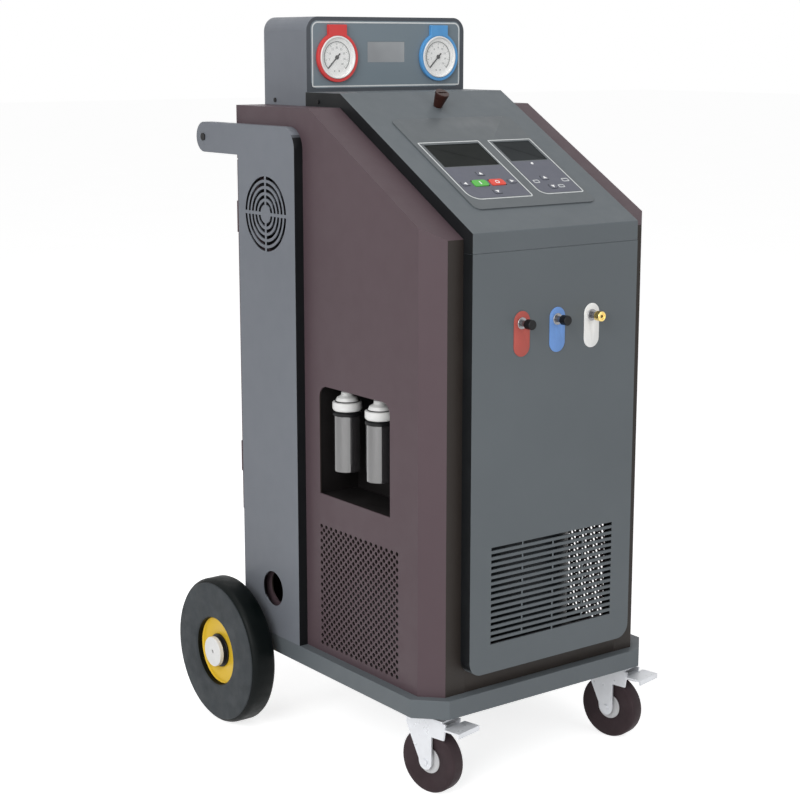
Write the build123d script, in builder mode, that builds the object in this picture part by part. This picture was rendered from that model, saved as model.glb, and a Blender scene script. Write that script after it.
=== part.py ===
from build123d import *
import math
import os

os.makedirs("parts", exist_ok=True)

# Air conditioning recharge station on wheels, millimetres, +Z up, front towards -Y.
# Depths named "..._d" are measured back from the front plane of the brown housing.

# Overall reach in front of and behind the housing front plane
front_reach = 52.0
rear_reach = 602.0
housing_front = (front_reach - rear_reach) / 2


def at(depth):
    """Y position of a depth measured back from the housing front plane."""
    return housing_front + depth


# Base tray
tray_half = 230.5
tray_front_d = -15.4
tray_rear_d = 497.0
tray_bottom = 131.5
tray_top = 160.0
tray_skin = 3.0
tray_corner = 40.5
castor_pad_inner = 118.0
castor_pad_rear_d = 128.0

# Brown housing, folded sheet
body_half = 215.0
body_rear_d = 494.0
body_top = 1000.0
body_corner = 29.0
slope_angle = 30.0
slope_rise = math.tan(math.radians(slope_angle))
slope_top_d = 298.8
slope_foot = body_top - slope_top_d * slope_rise
sheet = 2.5
strip_inner = 150.0

# Bottle window in the left side
window_front_d = 96.0
window_rear_d = 276.5
window_bottom = 415.5
window_top = 585.0
window_radius = 18.0

# Punched vent in both sides
vent_front_d = 79.0
vent_rear_d = 281.0
vent_bottom = 175.0
vent_top = 375.0
vent_columns = 8
vent_rows = 13
vent_slot = 19.0
vent_slot_width = 6.0

# Rear side columns with handle arms
column_thick = 15.5
column_face = 2.5
column_front_d = 316.0
column_rear_d = 476.0
column_radius = 33.0
arm_top = 972.0
arm_bottom = 924.0
arm_end = 22.0
arm_screw_d = rear_reach - arm_end
arm_height = arm_top - arm_bottom
arm_axis = (arm_top + arm_bottom) / 2
grille_d = 397.5
grille_z = 837.0
grille_radius = 58.0
grille_rings = 5
grille_pitch = 9.6
grille_slot = 5.2
grille_spoke = 5.0
grille_spokes = 4
lower_hole_d = 391.0
lower_hole_z = 236.0
lower_hole_radius = 28.5

# Rear panel, service door and upper cover
door_half = 209.0
door_bottom = 341.0
door_top = 914.0
door_depth = 18.7
door_skin = 2.0
door_gap = 2.0
barrel_radius = 3.5
door_axis_inset = 3.7
door_opening_margin = 28.0

# Front panel slab
panel_half = 158.2
panel_proud = 21.0
panel_wall = 3.0
panel_bottom = 190.0
panel_top = 808.0
panel_radius = 22.0
louvre_half = 119.0
louvre_bottom = 235.6
louvre_rows = 16
louvre_pitch = 9.45
louvre_height = 5.0
louvre_web = 3.0

# Console housing
bend_z = 837.0
console_flat = 93.2
console_rear_d = slope_top_d + console_flat
console_top = bend_z + (slope_top_d + panel_proud) * slope_rise
console_wall = 3.0
plate_half = 115.5
plate_low = 53.0
plate_high = 291.0
plate_thick = 2.0
plate_radius = 12.0

# Displays on the console plate: centre along X, centre along the slope, width, height
left_display = (-48.0, 189.5, 104.0, 59.0)
right_display = (68.2, 193.2, 72.4, 52.6)

# Keys: centre along X, centre along the slope
key_gap = 0.25
key_below = 2.5
key_proud = 1.2
word_key = (27.0, 15.0)
arrow_key = (13.0, 9.0)
small_key = (12.0, 10.0)
key_cluster = (-49.2, 115.0)
word_key_reach = 16.0
arrow_reach_x = 43.8
arrow_reach_s = 23.5
right_key_x = 61.0
raise_key_s = 119.0
lower_key_s = 96.0

# Quarter turn knob
knob_s = 327.0
knob_base_radius = 7.0
knob_top_radius = 11.0
knob_height = 24.0
knob_stem_radius = 4.0
knob_lift = 0.1
shaft_gap = 0.05

# Gauge pod
pod_half = 155.0
pod_depth = 120.7
pod_rear_d = console_rear_d + pod_depth
pod_top = 1136.0
pod_radius = 22.0
pod_wall = 3.0
face_half = 147.0
face_bottom = 1027.0
face_top = 1130.0
face_radius = 12.0
face_thick = 2.0
face_sink = 1.5
gauge_x = 100.0
gauge_z = 1074.0
case_radius = 29.0
case_depth = 42.0
dial_radius = 33.0
dial_thick = 2.0
fit_gap = 0.3
collar_radius = 38.0
collar_thick = 6.0
tab_width = 34.0
tab_top = 50.0
needle_length = 24.0
needle_tail = 8.0
needle_angle = 225.0
lens_thick = 1.2
pod_display_size = (73.0, 32.0)
pod_display_at = (-3.0, 1082.0)

# Service ports
port_spacing = 67.5
port_z = 704.0
label_width = 29.5
label_height = 66.0
label_z = 688.5
label_thick = 1.2
stud_radius = 5.0
neck_radius = 4.5
flange_across = 9.0
cap_radius = 7.3
cap_start_d = -26.5
neck_end_d = -46.0

# Bottle recess and bottles
recess_margin = 3.5
recess_wall = 2.0
recess_inner = 140.0
bottle_x = -188.0
front_bottle_d = 157.5
rear_bottle_d = 241.5
bottle_radius = 20.8
bottle_wall = 1.5
bottle_bottom = 455.0
bottle_shoulder = 541.5
bottle_neck_radius = 15.0
bottle_neck = 547.5
lid_bottom = 549.5
lid_top = 571.0
lid_radius = 21.8
ring_radius = 22.6

# Fan, shroud and condenser
fan_square = 124.0
fan_thick = 25.0
fan_bore = 57.0
fan_hub = 17.0
fan_blades = 7
condenser_thick = 36.0
fin_count = 9

# Handle bar
bar_radius = 12.5

# Axle and rear wheels
axle_d = 475.0
axle_z = 119.5
axle_radius = 8.0
bracket_x = 205.0
bracket_thick = 6.0
tyre_radius = 119.5
tyre_inner = 245.6
tyre_outer = 293.0
tyre_shoulder = 9.5
hub_radius = 56.0
hub_sink = 7.0
boss_radius = 20.0
axle_cap_radius = 24.5
axle_cap_outer = 297.0

# Castors
castor_x = 183.0
castor_d = 74.0
castor_turn = 12.0
castor_trail = 33.0
castor_radius = 50.0
castor_width = 26.0
castor_plate = (68.0, 84.0, 3.5)
race_radius = 23.0
race_height = 7.0
crown_radius = 24.0
crown_thick = 3.0
cheek_inner = 15.0
cheek_thick = 3.0
castor_axle_radius = 5.0
pin_radius = 5.0
pedal_half = 24.0
pedal_reach = 102.0
pedal_thick = 3.0
pedal_pivot_y = -66.0
pedal_pivot_z = 107.0
pedal_pin = 2.5

# Rear inlet and rocker switch
inlet_x = 110.0
inlet_z = 252.0
inlet_width = 50.0
inlet_height = 76.0
inlet_flange = 3.0
inlet_depth = 38.0
rocker_z = 273.0
rocker_width = 21.0
rocker_height = 14.0

# Inner frame and internals
post = 25.0
post_x = 194.5
front_post_d = 47.5
rear_post_d = 475.0
front_post_top = 820.0
rail_z = 622.0
tank_x = 62.0
tank_d = 165.0
tank_radius = 102.0
tank_top = 560.0
scale_size = 214.0
scale_height = 12.0
pump_foot = (110.0, 210.0, 8.0)
pump_case = (96.0, 80.0, 120.0)
pump_case_shift = 60.0
pump_x = -126.0
pump_d = 180.0
compressor_x = 95.0
compressor_d = 372.0
compressor_radius = 74.0
compressor_top = 350.0

slope_plane = Plane(
    origin=(0, at(-panel_proud), bend_z),
    x_dir=(1, 0, 0),
    z_dir=(0, -math.sin(math.radians(slope_angle)), math.cos(math.radians(slope_angle))),
)


def facing(depth):
    """Plane that faces the front at a depth: local x is X and local y is Z."""
    return Plane.XZ.offset(-at(depth))


def side_plane(x):
    """Plane that faces +X at x: local x is Y and local y is Z."""
    return Plane.YZ.offset(x)


# Base tray: folded slab with chamfered front corners, open below, axle brackets inside it
with BuildPart() as base_tray:
    with BuildSketch(Plane.XY.offset(tray_bottom)):
        with BuildLine():
            Polyline(
                (-tray_half + tray_corner, at(tray_front_d)),
                (tray_half - tray_corner, at(tray_front_d)),
                (tray_half, at(tray_front_d) + tray_corner),
                (tray_half, at(tray_rear_d)),
                (-tray_half, at(tray_rear_d)),
                (-tray_half, at(tray_front_d) + tray_corner),
                close=True,
            )
        make_face()
    extrude(amount=tray_top - tray_bottom)
    with BuildSketch(Plane.XY.offset(tray_bottom)):
        tray_length = tray_rear_d - tray_front_d - 4 * tray_skin
        with Locations((0, at((tray_rear_d + tray_front_d) / 2))):
            Rectangle(2 * castor_pad_inner - 2 * tray_skin, tray_length)
        side_length = tray_rear_d - 2 * tray_skin - castor_pad_rear_d
        side_centre = (castor_pad_inner + tray_half - tray_skin) / 2
        with Locations(
            (side_centre, at(castor_pad_rear_d + side_length / 2)),
            (-side_centre, at(castor_pad_rear_d + side_length / 2)),
        ):
            Rectangle(tray_half - tray_skin - castor_pad_inner, side_length)
    extrude(amount=tray_top - tray_skin - tray_bottom, mode=Mode.SUBTRACT)
    with BuildSketch(side_plane(bracket_x)):
        bracket_top = tray_top - tray_skin
        with Locations((at(axle_d), axle_z)):
            Circle(axle_radius + 8)
        with Locations((at(axle_d), (axle_z + bracket_top) / 2)):
            Rectangle(2 * (axle_radius + 8), bracket_top - axle_z)
        with Locations((at(axle_d), axle_z)):
            Circle(axle_radius + shaft_gap, mode=Mode.SUBTRACT)
    extrude(amount=bracket_thick)
    with BuildSketch(side_plane(-bracket_x)):
        with Locations((at(axle_d), axle_z)):
            Circle(axle_radius + 8)
        with Locations((at(axle_d), (axle_z + bracket_top) / 2)):
            Rectangle(2 * (axle_radius + 8), bracket_top - axle_z)
        with Locations((at(axle_d), axle_z)):
            Circle(axle_radius + shaft_gap, mode=Mode.SUBTRACT)
    extrude(amount=-bracket_thick)
base_tray.part.label = "base_tray"
export_step(base_tray.part, "parts/base_tray.step")

# Left side column: folded channel with the handle arm, round fan grille and lower hole
with BuildPart() as left_side_column:
    with BuildSketch(side_plane(-body_half - column_thick)):
        with BuildLine():
            Polyline(
                (at(column_front_d), tray_top),
                (at(column_rear_d), tray_top),
                (at(column_rear_d), arm_bottom),
                (at(rear_reach), arm_bottom),
                (at(rear_reach), arm_top),
                (at(column_front_d), arm_top),
                close=True,
            )
        make_face()
        arm_corners = vertices().group_by(Axis.X)[-1]
        fillet(arm_corners, arm_height / 2 - 0.1)
        fillet(vertices().group_by(Axis.Y)[-1].sort_by(Axis.X)[0], column_radius)
    extrude(amount=column_thick)
    with BuildSketch(side_plane(-body_half)):
        pocket_front = column_front_d + column_face
        pocket_rear = column_rear_d - column_face
        pocket_low = tray_top + column_face
        pocket_high = arm_bottom - column_radius / 3
        with Locations((at((pocket_front + pocket_rear) / 2), (pocket_low + pocket_high) / 2)):
            Rectangle(pocket_rear - pocket_front, pocket_high - pocket_low)
    extrude(amount=column_face - column_thick, mode=Mode.SUBTRACT)
    with BuildSketch(side_plane(-body_half - column_thick)):
        with Locations((at(grille_d), grille_z)):
            for ring in range(grille_rings):
                ring_outer = grille_radius - ring * grille_pitch
                Circle(ring_outer)
                Circle(ring_outer - grille_slot, mode=Mode.SUBTRACT)
        with Locations((at(grille_d), grille_z)):
            with PolarLocations(0, grille_spokes // 2, angular_range=180):
                Rectangle(2 * grille_radius + grille_slot, grille_spoke, mode=Mode.SUBTRACT)
    extrude(amount=column_thick, mode=Mode.SUBTRACT)
    with BuildSketch(side_plane(-body_half - column_thick)):
        with Locations((at(lower_hole_d), lower_hole_z)):
            Circle(lower_hole_radius)
    extrude(amount=column_thick, mode=Mode.SUBTRACT)
    with BuildSketch(side_plane(-body_half - column_thick)):
        with Locations((at(arm_screw_d), arm_axis)):
            Circle(3.2)
    extrude(amount=column_thick, mode=Mode.SUBTRACT)
left_side_column.part.label = "left_side_column"
export_step(left_side_column.part, "parts/left_side_column.step")

# Right side column: the mirror image
with BuildPart() as right_side_column:
    mirror(left_side_column.part, about=Plane.YZ)
right_side_column.part.label = "right_side_column"
export_step(right_side_column.part, "parts/right_side_column.step")

# Side panel blank: side, chamfered front corner, front strip, slope strip and top strip
with BuildPart() as side_blank:
    with BuildSketch(side_plane(-body_half)):
        with BuildLine():
            Polyline(
                (at(0), tray_top),
                (at(body_rear_d), tray_top),
                (at(body_rear_d), body_top),
                (at(slope_top_d), body_top),
                (at(0), slope_foot),
                close=True,
            )
        make_face()
    extrude(amount=body_half - strip_inner)
    front_corner = edges().filter_by(Axis.Z).group_by(Axis.Y)[0].sort_by(Axis.X)[0]
    chamfer(front_corner, length=body_corner)
    open_bottom = faces().sort_by(Axis.Z)[0]
    open_rear = faces().sort_by(Axis.Y)[-1]
    open_inner = faces().sort_by(Axis.X)[-1]
    offset(amount=-sheet, openings=[open_bottom, open_rear, open_inner])
    with BuildSketch(side_plane(-body_half)):
        with Locations((at(grille_d), grille_z)):
            Circle(grille_radius)
    extrude(amount=sheet, mode=Mode.SUBTRACT)
    with BuildSketch(side_plane(-body_half)):
        vent_pitch_y = (vent_rear_d - vent_front_d) / vent_columns
        vent_pitch_z = (vent_top - vent_bottom) / vent_rows
        with Locations((at((vent_front_d + vent_rear_d) / 2), (vent_bottom + vent_top) / 2)):
            with GridLocations(vent_pitch_y, vent_pitch_z, vent_columns, vent_rows):
                Rectangle(vent_slot, vent_slot_width, rotation=-45)
    extrude(amount=sheet, mode=Mode.SUBTRACT)

# Left side panel: the blank with the bottle window
with BuildPart() as left_side_panel:
    add(side_blank.part)
    with BuildSketch(side_plane(-body_half)):
        with Locations((at((window_front_d + window_rear_d) / 2), (window_bottom + window_top) / 2)):
            Rectangle(window_rear_d - window_front_d, window_top - window_bottom)
        fillet(vertices().group_by(Axis.Y)[-1], window_radius)
    extrude(amount=sheet, mode=Mode.SUBTRACT)
left_side_panel.part.label = "left_side_panel"
export_step(left_side_panel.part, "parts/left_side_panel.step")

# Right side panel: the mirrored blank, closed where the window is
with BuildPart() as right_side_panel:
    mirror(side_blank.part, about=Plane.YZ)
right_side_panel.part.label = "right_side_panel"
export_step(right_side_panel.part, "parts/right_side_panel.step")

# Inner frame: four posts joined by rails
with BuildPart() as inner_frame:
    post_height = front_post_top - tray_top
    with Locations(
        (post_x, at(front_post_d), tray_top),
        (-post_x, at(front_post_d), tray_top),
    ):
        Box(post, post, post_height, align=(Align.CENTER, Align.CENTER, Align.MIN))
    with Locations(
        (post_x, at(rear_post_d), tray_top),
        (-post_x, at(rear_post_d), tray_top),
    ):
        Box(post, post, body_top - sheet - tray_top, align=(Align.CENTER, Align.CENTER, Align.MIN))
    with Locations(
        (0, at(front_post_d), rail_z),
        (0, at(front_post_d), front_post_top - post / 2),
        (0, at(rear_post_d), body_top - sheet - post / 2),
    ):
        Box(2 * post_x, post, post)
    with Locations(
        (post_x, at((front_post_d + rear_post_d) / 2), rail_z),
        (-post_x, at((front_post_d + rear_post_d) / 2), rail_z),
    ):
        Box(post, rear_post_d - front_post_d, post)
inner_frame.part.label = "inner_frame"
export_step(inner_frame.part, "parts/inner_frame.step")

# Rear panel: sheet between the side panels, with the door opening and the upper cover
with BuildPart() as rear_panel:
    rear_half = body_half - sheet
    rear_height = body_top - sheet - tray_top
    with Locations((0, at(body_rear_d), tray_top)):
        Box(2 * rear_half, sheet, rear_height, align=(Align.CENTER, Align.MAX, Align.MIN))
    opening_height = door_top - door_bottom - 2 * door_opening_margin
    with Locations((0, at(body_rear_d), (door_top + door_bottom) / 2)):
        Box(
            2 * (door_half - door_opening_margin),
            6 * sheet,
            opening_height,
            mode=Mode.SUBTRACT,
        )
    cover_height = body_top - door_top - door_gap
    with Locations((0, at(body_rear_d), body_top)):
        Box(2 * door_half, door_depth, cover_height, align=(Align.CENTER, Align.MIN, Align.MAX))
    with Locations((0, at(body_rear_d), body_top - door_skin)):
        Box(
            2 * (door_half - door_skin),
            door_depth - door_skin,
            cover_height - 2 * door_skin,
            align=(Align.CENTER, Align.MIN, Align.MAX),
            mode=Mode.SUBTRACT,
        )
    with Locations((inlet_x, at(body_rear_d), inlet_z)):
        Box(inlet_width - 8, 6 * sheet, inlet_height - 8, mode=Mode.SUBTRACT)
rear_panel.part.label = "rear_panel"
export_step(rear_panel.part, "parts/rear_panel.step")

# Rear door: shallow pan with two hinge barrels on its left edge and a finger cup on the right
with BuildPart() as rear_door:
    door_height = door_top - door_bottom
    with Locations((0, at(body_rear_d), door_bottom)):
        Box(2 * door_half, door_depth, door_height, align=(Align.CENTER, Align.MIN, Align.MIN))
    with Locations((0, at(body_rear_d), door_bottom + door_skin)):
        Box(
            2 * (door_half - door_skin),
            door_depth - door_skin,
            door_height - 2 * door_skin,
            align=(Align.CENTER, Align.MIN, Align.MIN),
            mode=Mode.SUBTRACT,
        )
    with Locations(
        (-door_half, at(body_rear_d + door_depth - door_axis_inset), door_bottom + 90),
        (-door_half, at(body_rear_d + door_depth - door_axis_inset), door_top - 90),
    ):
        Cylinder(barrel_radius, 50)
rear_door.part.label = "rear_door"
export_step(rear_door.part, "parts/rear_door.step")

# Front panel: proud slab, open behind, with rounded lower corners and sixteen louvre rows
with BuildPart() as front_panel:
    with BuildSketch(facing(0)):
        with Locations((0, (panel_bottom + panel_top) / 2)):
            Rectangle(2 * panel_half, panel_top - panel_bottom)
        fillet(vertices().group_by(Axis.Y)[0], panel_radius)
    extrude(amount=panel_proud)
    with BuildSketch(facing(0)):
        with Locations((0, (panel_bottom + panel_top) / 2)):
            Rectangle(2 * (panel_half - panel_wall), panel_top - panel_bottom - 2 * panel_wall)
        fillet(vertices().group_by(Axis.Y)[0], panel_radius - panel_wall)
    extrude(amount=panel_proud - panel_wall, mode=Mode.SUBTRACT)
    with BuildSketch(facing(-panel_proud)):
        for row in range(louvre_rows):
            row_z = louvre_bottom + row * louvre_pitch
            if row % 2 == 0:
                long_slot = louvre_half - louvre_web / 2
                long_x = (louvre_half + louvre_web / 2) / 2
                with Locations((-long_x, row_z), (long_x, row_z)):
                    Rectangle(long_slot, louvre_height)
            else:
                half_slot = louvre_half / 2 - louvre_web / 2
                half_x = louvre_half * 3 / 4 + louvre_web / 4
                with Locations((0, row_z)):
                    Rectangle(louvre_half - louvre_web, louvre_height)
                with Locations((-half_x, row_z), (half_x, row_z)):
                    Rectangle(half_slot, louvre_height)
    extrude(amount=-panel_wall, mode=Mode.SUBTRACT)
    with BuildSketch(facing(-panel_proud)):
        with Locations((-port_spacing, port_z), (0, port_z), (port_spacing, port_z)):
            Circle(stud_radius + fit_gap)
    extrude(amount=-panel_wall, mode=Mode.SUBTRACT)
front_panel.part.label = "front_panel"
export_step(front_panel.part, "parts/front_panel.step")

# Key places on the console: name, centre along X, centre along the slope, size
key_places = [
    ("start_key", key_cluster[0] - word_key_reach, key_cluster[1], word_key),
    ("stop_key", key_cluster[0] + word_key_reach, key_cluster[1], word_key),
    ("up_key", key_cluster[0], key_cluster[1] + arrow_reach_s, arrow_key),
    ("down_key", key_cluster[0], key_cluster[1] - arrow_reach_s, arrow_key),
    ("left_key", key_cluster[0] - arrow_reach_x, key_cluster[1], arrow_key),
    ("right_key", key_cluster[0] + arrow_reach_x, key_cluster[1], arrow_key),
    ("raise_key", right_key_x, raise_key_s, small_key),
    ("lower_key", right_key_x, lower_key_s, small_key),
]

# Console housing: lip over the front panel, bend, slope and flat top, open behind and below
with BuildPart() as console_housing:
    with BuildSketch(side_plane(-panel_half)):
        with BuildLine():
            Polyline(
                (at(-panel_proud), panel_top),
                (at(-panel_proud), bend_z),
                (at(slope_top_d), console_top),
                (at(console_rear_d), console_top),
                (at(console_rear_d), body_top),
                (at(slope_top_d), body_top),
                (at(0), slope_foot),
                (at(0), panel_top),
                close=True,
            )
        make_face()
    extrude(amount=2 * panel_half)
    inner_drop = console_wall / math.cos(math.radians(slope_angle))
    inner_front = -panel_proud + console_wall
    inner_bend = bend_z + console_wall * slope_rise - inner_drop
    inner_top = console_top - console_wall
    inner_break = slope_top_d + (inner_drop - console_wall) / slope_rise
    with BuildSketch(side_plane(-panel_half + console_wall)):
        with BuildLine():
            Polyline(
                (at(inner_front), panel_top + console_wall),
                (at(inner_front), inner_bend),
                (at(inner_break), inner_top),
                (at(console_rear_d - console_wall), inner_top),
                (at(console_rear_d - console_wall), body_top - 50),
                (at(10), panel_top + console_wall),
                close=True,
            )
        make_face()
    extrude(amount=2 * (panel_half - console_wall), mode=Mode.SUBTRACT)
    with BuildSketch(slope_plane):
        for key_name, key_x, key_s, key_size in key_places:
            with Locations((key_x, key_s)):
                Rectangle(key_size[0] + 2 * key_gap, key_size[1] + 2 * key_gap)
        with Locations((0, knob_s)):
            Circle(knob_stem_radius + shaft_gap)
    extrude(amount=-2 * console_wall, mode=Mode.SUBTRACT)
console_housing.part.label = "console_housing"
export_step(console_housing.part, "parts/console_housing.step")

# Console plate: raised plate with two display openings and the key holes
with BuildPart() as console_plate:
    with BuildSketch(slope_plane):
        with Locations((0, (plate_low + plate_high) / 2)):
            RectangleRounded(2 * plate_half, plate_high - plate_low, plate_radius)
        for display in (left_display, right_display):
            with Locations((display[0], display[1])):
                Rectangle(display[2], display[3], mode=Mode.SUBTRACT)
        for key_name, key_x, key_s, key_size in key_places:
            with Locations((key_x, key_s)):
                Rectangle(key_size[0] + 2 * key_gap, key_size[1] + 2 * key_gap, mode=Mode.SUBTRACT)
    extrude(amount=plate_thick)
console_plate.part.label = "console_plate"
export_step(console_plate.part, "parts/console_plate.step")

# Console displays: two dark windows in the plate
with BuildPart() as console_displays:
    with BuildSketch(slope_plane):
        for display in (left_display, right_display):
            with Locations((display[0], display[1])):
                Rectangle(display[2] - 0.2, display[3] - 0.2)
    extrude(amount=plate_thick - 0.4)
console_displays.part.label = "console_displays"
export_step(console_displays.part, "parts/console_displays.step")

# Push keys: each one slides through the plate and the console wall
for key_name, key_x, key_s, key_size in key_places:
    with BuildPart() as push_key:
        with BuildSketch(slope_plane.offset(-key_below)):
            with Locations((key_x, key_s)):
                RectangleRounded(key_size[0], key_size[1], min(key_size) / 3)
        extrude(amount=key_below + plate_thick + key_proud)
    push_key.part.label = key_name
    export_step(push_key.part, f"parts/{key_name}.step")

# Quarter turn knob, square to the slope, wider at its top
with BuildPart() as console_knob:
    with BuildSketch(slope_plane.offset(knob_lift)):
        with Locations((0, knob_s)):
            Circle(knob_base_radius)
    with BuildSketch(slope_plane.offset(knob_height - 3)):
        with Locations((0, knob_s)):
            Circle(knob_top_radius)
    loft()
    with BuildSketch(slope_plane.offset(knob_height - 3)):
        with Locations((0, knob_s)):
            Circle(knob_top_radius)
    extrude(amount=3)
    with BuildSketch(slope_plane.offset(knob_lift)):
        with Locations((0, knob_s)):
            Circle(knob_stem_radius)
    extrude(amount=-3 * console_wall)
    with BuildSketch(slope_plane.offset(knob_height)):
        with Locations((0, knob_s)):
            Rectangle(2 * knob_top_radius - 6, 3)
    extrude(amount=-1.5, mode=Mode.SUBTRACT)
console_knob.part.label = "console_knob"
export_step(console_knob.part, "parts/console_knob.step")

# Gauge pod: box with rounded top corners, open below, recessed for its face plate
with BuildPart() as gauge_pod:
    pod_height = pod_top - body_top
    with BuildSketch(facing(console_rear_d)):
        with Locations((0, body_top + pod_height / 2)):
            Rectangle(2 * pod_half, pod_height)
        fillet(vertices().group_by(Axis.Y)[-1], pod_radius)
    extrude(amount=-(pod_rear_d - console_rear_d))
    with BuildSketch(facing(console_rear_d + pod_wall)):
        with Locations((0, body_top + (pod_height - pod_wall) / 2)):
            Rectangle(2 * (pod_half - pod_wall), pod_height - pod_wall)
        fillet(vertices().group_by(Axis.Y)[-1], pod_radius - pod_wall)
    extrude(amount=-(pod_rear_d - console_rear_d - 2 * pod_wall), mode=Mode.SUBTRACT)
    with BuildSketch(facing(console_rear_d)):
        with Locations((0, (face_bottom + face_top) / 2)):
            RectangleRounded(2 * face_half, face_top - face_bottom, face_radius)
    extrude(amount=-face_sink, mode=Mode.SUBTRACT)
    with BuildSketch(facing(console_rear_d)):
        with Locations((-gauge_x, gauge_z), (gauge_x, gauge_z)):
            Circle(case_radius + fit_gap)
    extrude(amount=-pod_wall, mode=Mode.SUBTRACT)
gauge_pod.part.label = "gauge_pod"
export_step(gauge_pod.part, "parts/gauge_pod.step")

# Pod face plate with two gauge holes and the display opening
face_front_d = console_rear_d + face_sink - face_thick
with BuildPart() as pod_faceplate:
    with BuildSketch(facing(console_rear_d + face_sink)):
        with Locations((0, (face_bottom + face_top) / 2)):
            RectangleRounded(2 * face_half, face_top - face_bottom, face_radius)
        with Locations((-gauge_x, gauge_z), (gauge_x, gauge_z)):
            Circle(case_radius + fit_gap, mode=Mode.SUBTRACT)
        with Locations(pod_display_at):
            Rectangle(*pod_display_size, mode=Mode.SUBTRACT)
    extrude(amount=face_thick)
pod_faceplate.part.label = "pod_faceplate"
export_step(pod_faceplate.part, "parts/pod_faceplate.step")

# Pod display
with BuildPart() as pod_display:
    with BuildSketch(facing(console_rear_d + face_sink)):
        with Locations(pod_display_at):
            Rectangle(pod_display_size[0] - 0.2, pod_display_size[1] - 0.2)
    extrude(amount=face_thick - 0.4)
pod_display.part.label = "pod_display"
export_step(pod_display.part, "parts/pod_display.step")

# Gauge collars: ring with a square tab above it
for collar_name, collar_x in (("high_gauge_collar", -gauge_x), ("low_gauge_collar", gauge_x)):
    with BuildPart() as gauge_collar:
        with BuildSketch(facing(face_front_d)):
            with Locations((collar_x, gauge_z)):
                Circle(collar_radius)
            with Locations((collar_x, gauge_z + (tab_top + dial_radius) / 2)):
                Rectangle(tab_width, tab_top - dial_radius)
            with Locations((collar_x, gauge_z)):
                Circle(dial_radius + fit_gap, mode=Mode.SUBTRACT)
        extrude(amount=collar_thick)
    gauge_collar.part.label = collar_name
    export_step(gauge_collar.part, f"parts/{collar_name}.step")

# Gauge dials with their cases
with BuildPart() as gauge_dials:
    with BuildSketch(facing(face_front_d)):
        with Locations((-gauge_x, gauge_z), (gauge_x, gauge_z)):
            Circle(dial_radius)
    extrude(amount=dial_thick)
    with BuildSketch(facing(face_front_d)):
        with Locations((-gauge_x, gauge_z), (gauge_x, gauge_z)):
            Circle(case_radius)
    extrude(amount=-case_depth)
    with BuildSketch(facing(face_front_d - dial_thick)):
        with Locations((-gauge_x, gauge_z), (gauge_x, gauge_z)):
            Circle(1.0 + shaft_gap)
    extrude(amount=-4, mode=Mode.SUBTRACT)
gauge_dials.part.label = "gauge_dials"
export_step(gauge_dials.part, "parts/gauge_dials.step")

# Gauge needles: pointer with tail, hub and pin
for needle_name, needle_x in (("high_gauge_needle", -gauge_x), ("low_gauge_needle", gauge_x)):
    with BuildPart() as gauge_needle:
        with BuildSketch(facing(face_front_d - dial_thick - 0.4)):
            with Locations((needle_x, gauge_z)):
                with PolarLocations(0, 1, start_angle=needle_angle):
                    with Locations(((needle_length - needle_tail) / 2, 0)):
                        Rectangle(needle_length + needle_tail, 1.8)
                Circle(3.4)
        extrude(amount=0.9)
        with BuildSketch(facing(face_front_d - dial_thick - 0.4)):
            with Locations((needle_x, gauge_z)):
                Circle(1.0)
        extrude(amount=-3)
    gauge_needle.part.label = needle_name
    export_step(gauge_needle.part, f"parts/{needle_name}.step")

# Gauge lenses
with BuildPart() as gauge_lenses:
    with BuildSketch(facing(face_front_d - collar_thick + 0.3)):
        with Locations((-gauge_x, gauge_z), (gauge_x, gauge_z)):
            Circle(dial_radius + fit_gap / 3)
    extrude(amount=-lens_thick)
gauge_lenses.part.label = "gauge_lenses"
export_step(gauge_lenses.part, "parts/gauge_lenses.step")

# Port labels: three oblong colour plates with the coupling hole near the top
with BuildPart() as port_labels:
    with BuildSketch(facing(-panel_proud)):
        with Locations((-port_spacing, label_z), (0, label_z), (port_spacing, label_z)):
            SlotOverall(label_height, label_width, rotation=90)
        with Locations((-port_spacing, port_z), (0, port_z), (port_spacing, port_z)):
            Circle(stud_radius + fit_gap, mode=Mode.SUBTRACT)
    extrude(amount=label_thick)
port_labels.part.label = "port_labels"
export_step(port_labels.part, "parts/port_labels.step")

# Port fittings: stud, hexagon flange and neck; the service port has a knurled head
with BuildPart() as port_fittings:
    label_front_d = -panel_proud - label_thick
    with BuildSketch(facing(label_front_d)):
        with Locations((-port_spacing, port_z), (0, port_z), (port_spacing, port_z)):
            RegularPolygon(flange_across, 6)
    extrude(amount=3)
    with BuildSketch(facing(label_front_d)):
        with Locations((-port_spacing, port_z), (0, port_z), (port_spacing, port_z)):
            Circle(stud_radius)
    extrude(amount=-12)
    with BuildSketch(facing(label_front_d)):
        with Locations((-port_spacing, port_z), (0, port_z), (port_spacing, port_z)):
            Circle(neck_radius)
    extrude(amount=label_front_d - neck_end_d)
    with BuildSketch(facing(-40)):
        with Locations((port_spacing, port_z)):
            Circle(cap_radius)
    extrude(amount=front_reach - 40)
    with BuildSketch(facing(-front_reach)):
        with Locations((port_spacing, port_z)):
            Circle(2.5)
    extrude(amount=-10, mode=Mode.SUBTRACT)
port_fittings.part.label = "port_fittings"
export_step(port_fittings.part, "parts/port_fittings.step")

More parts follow.
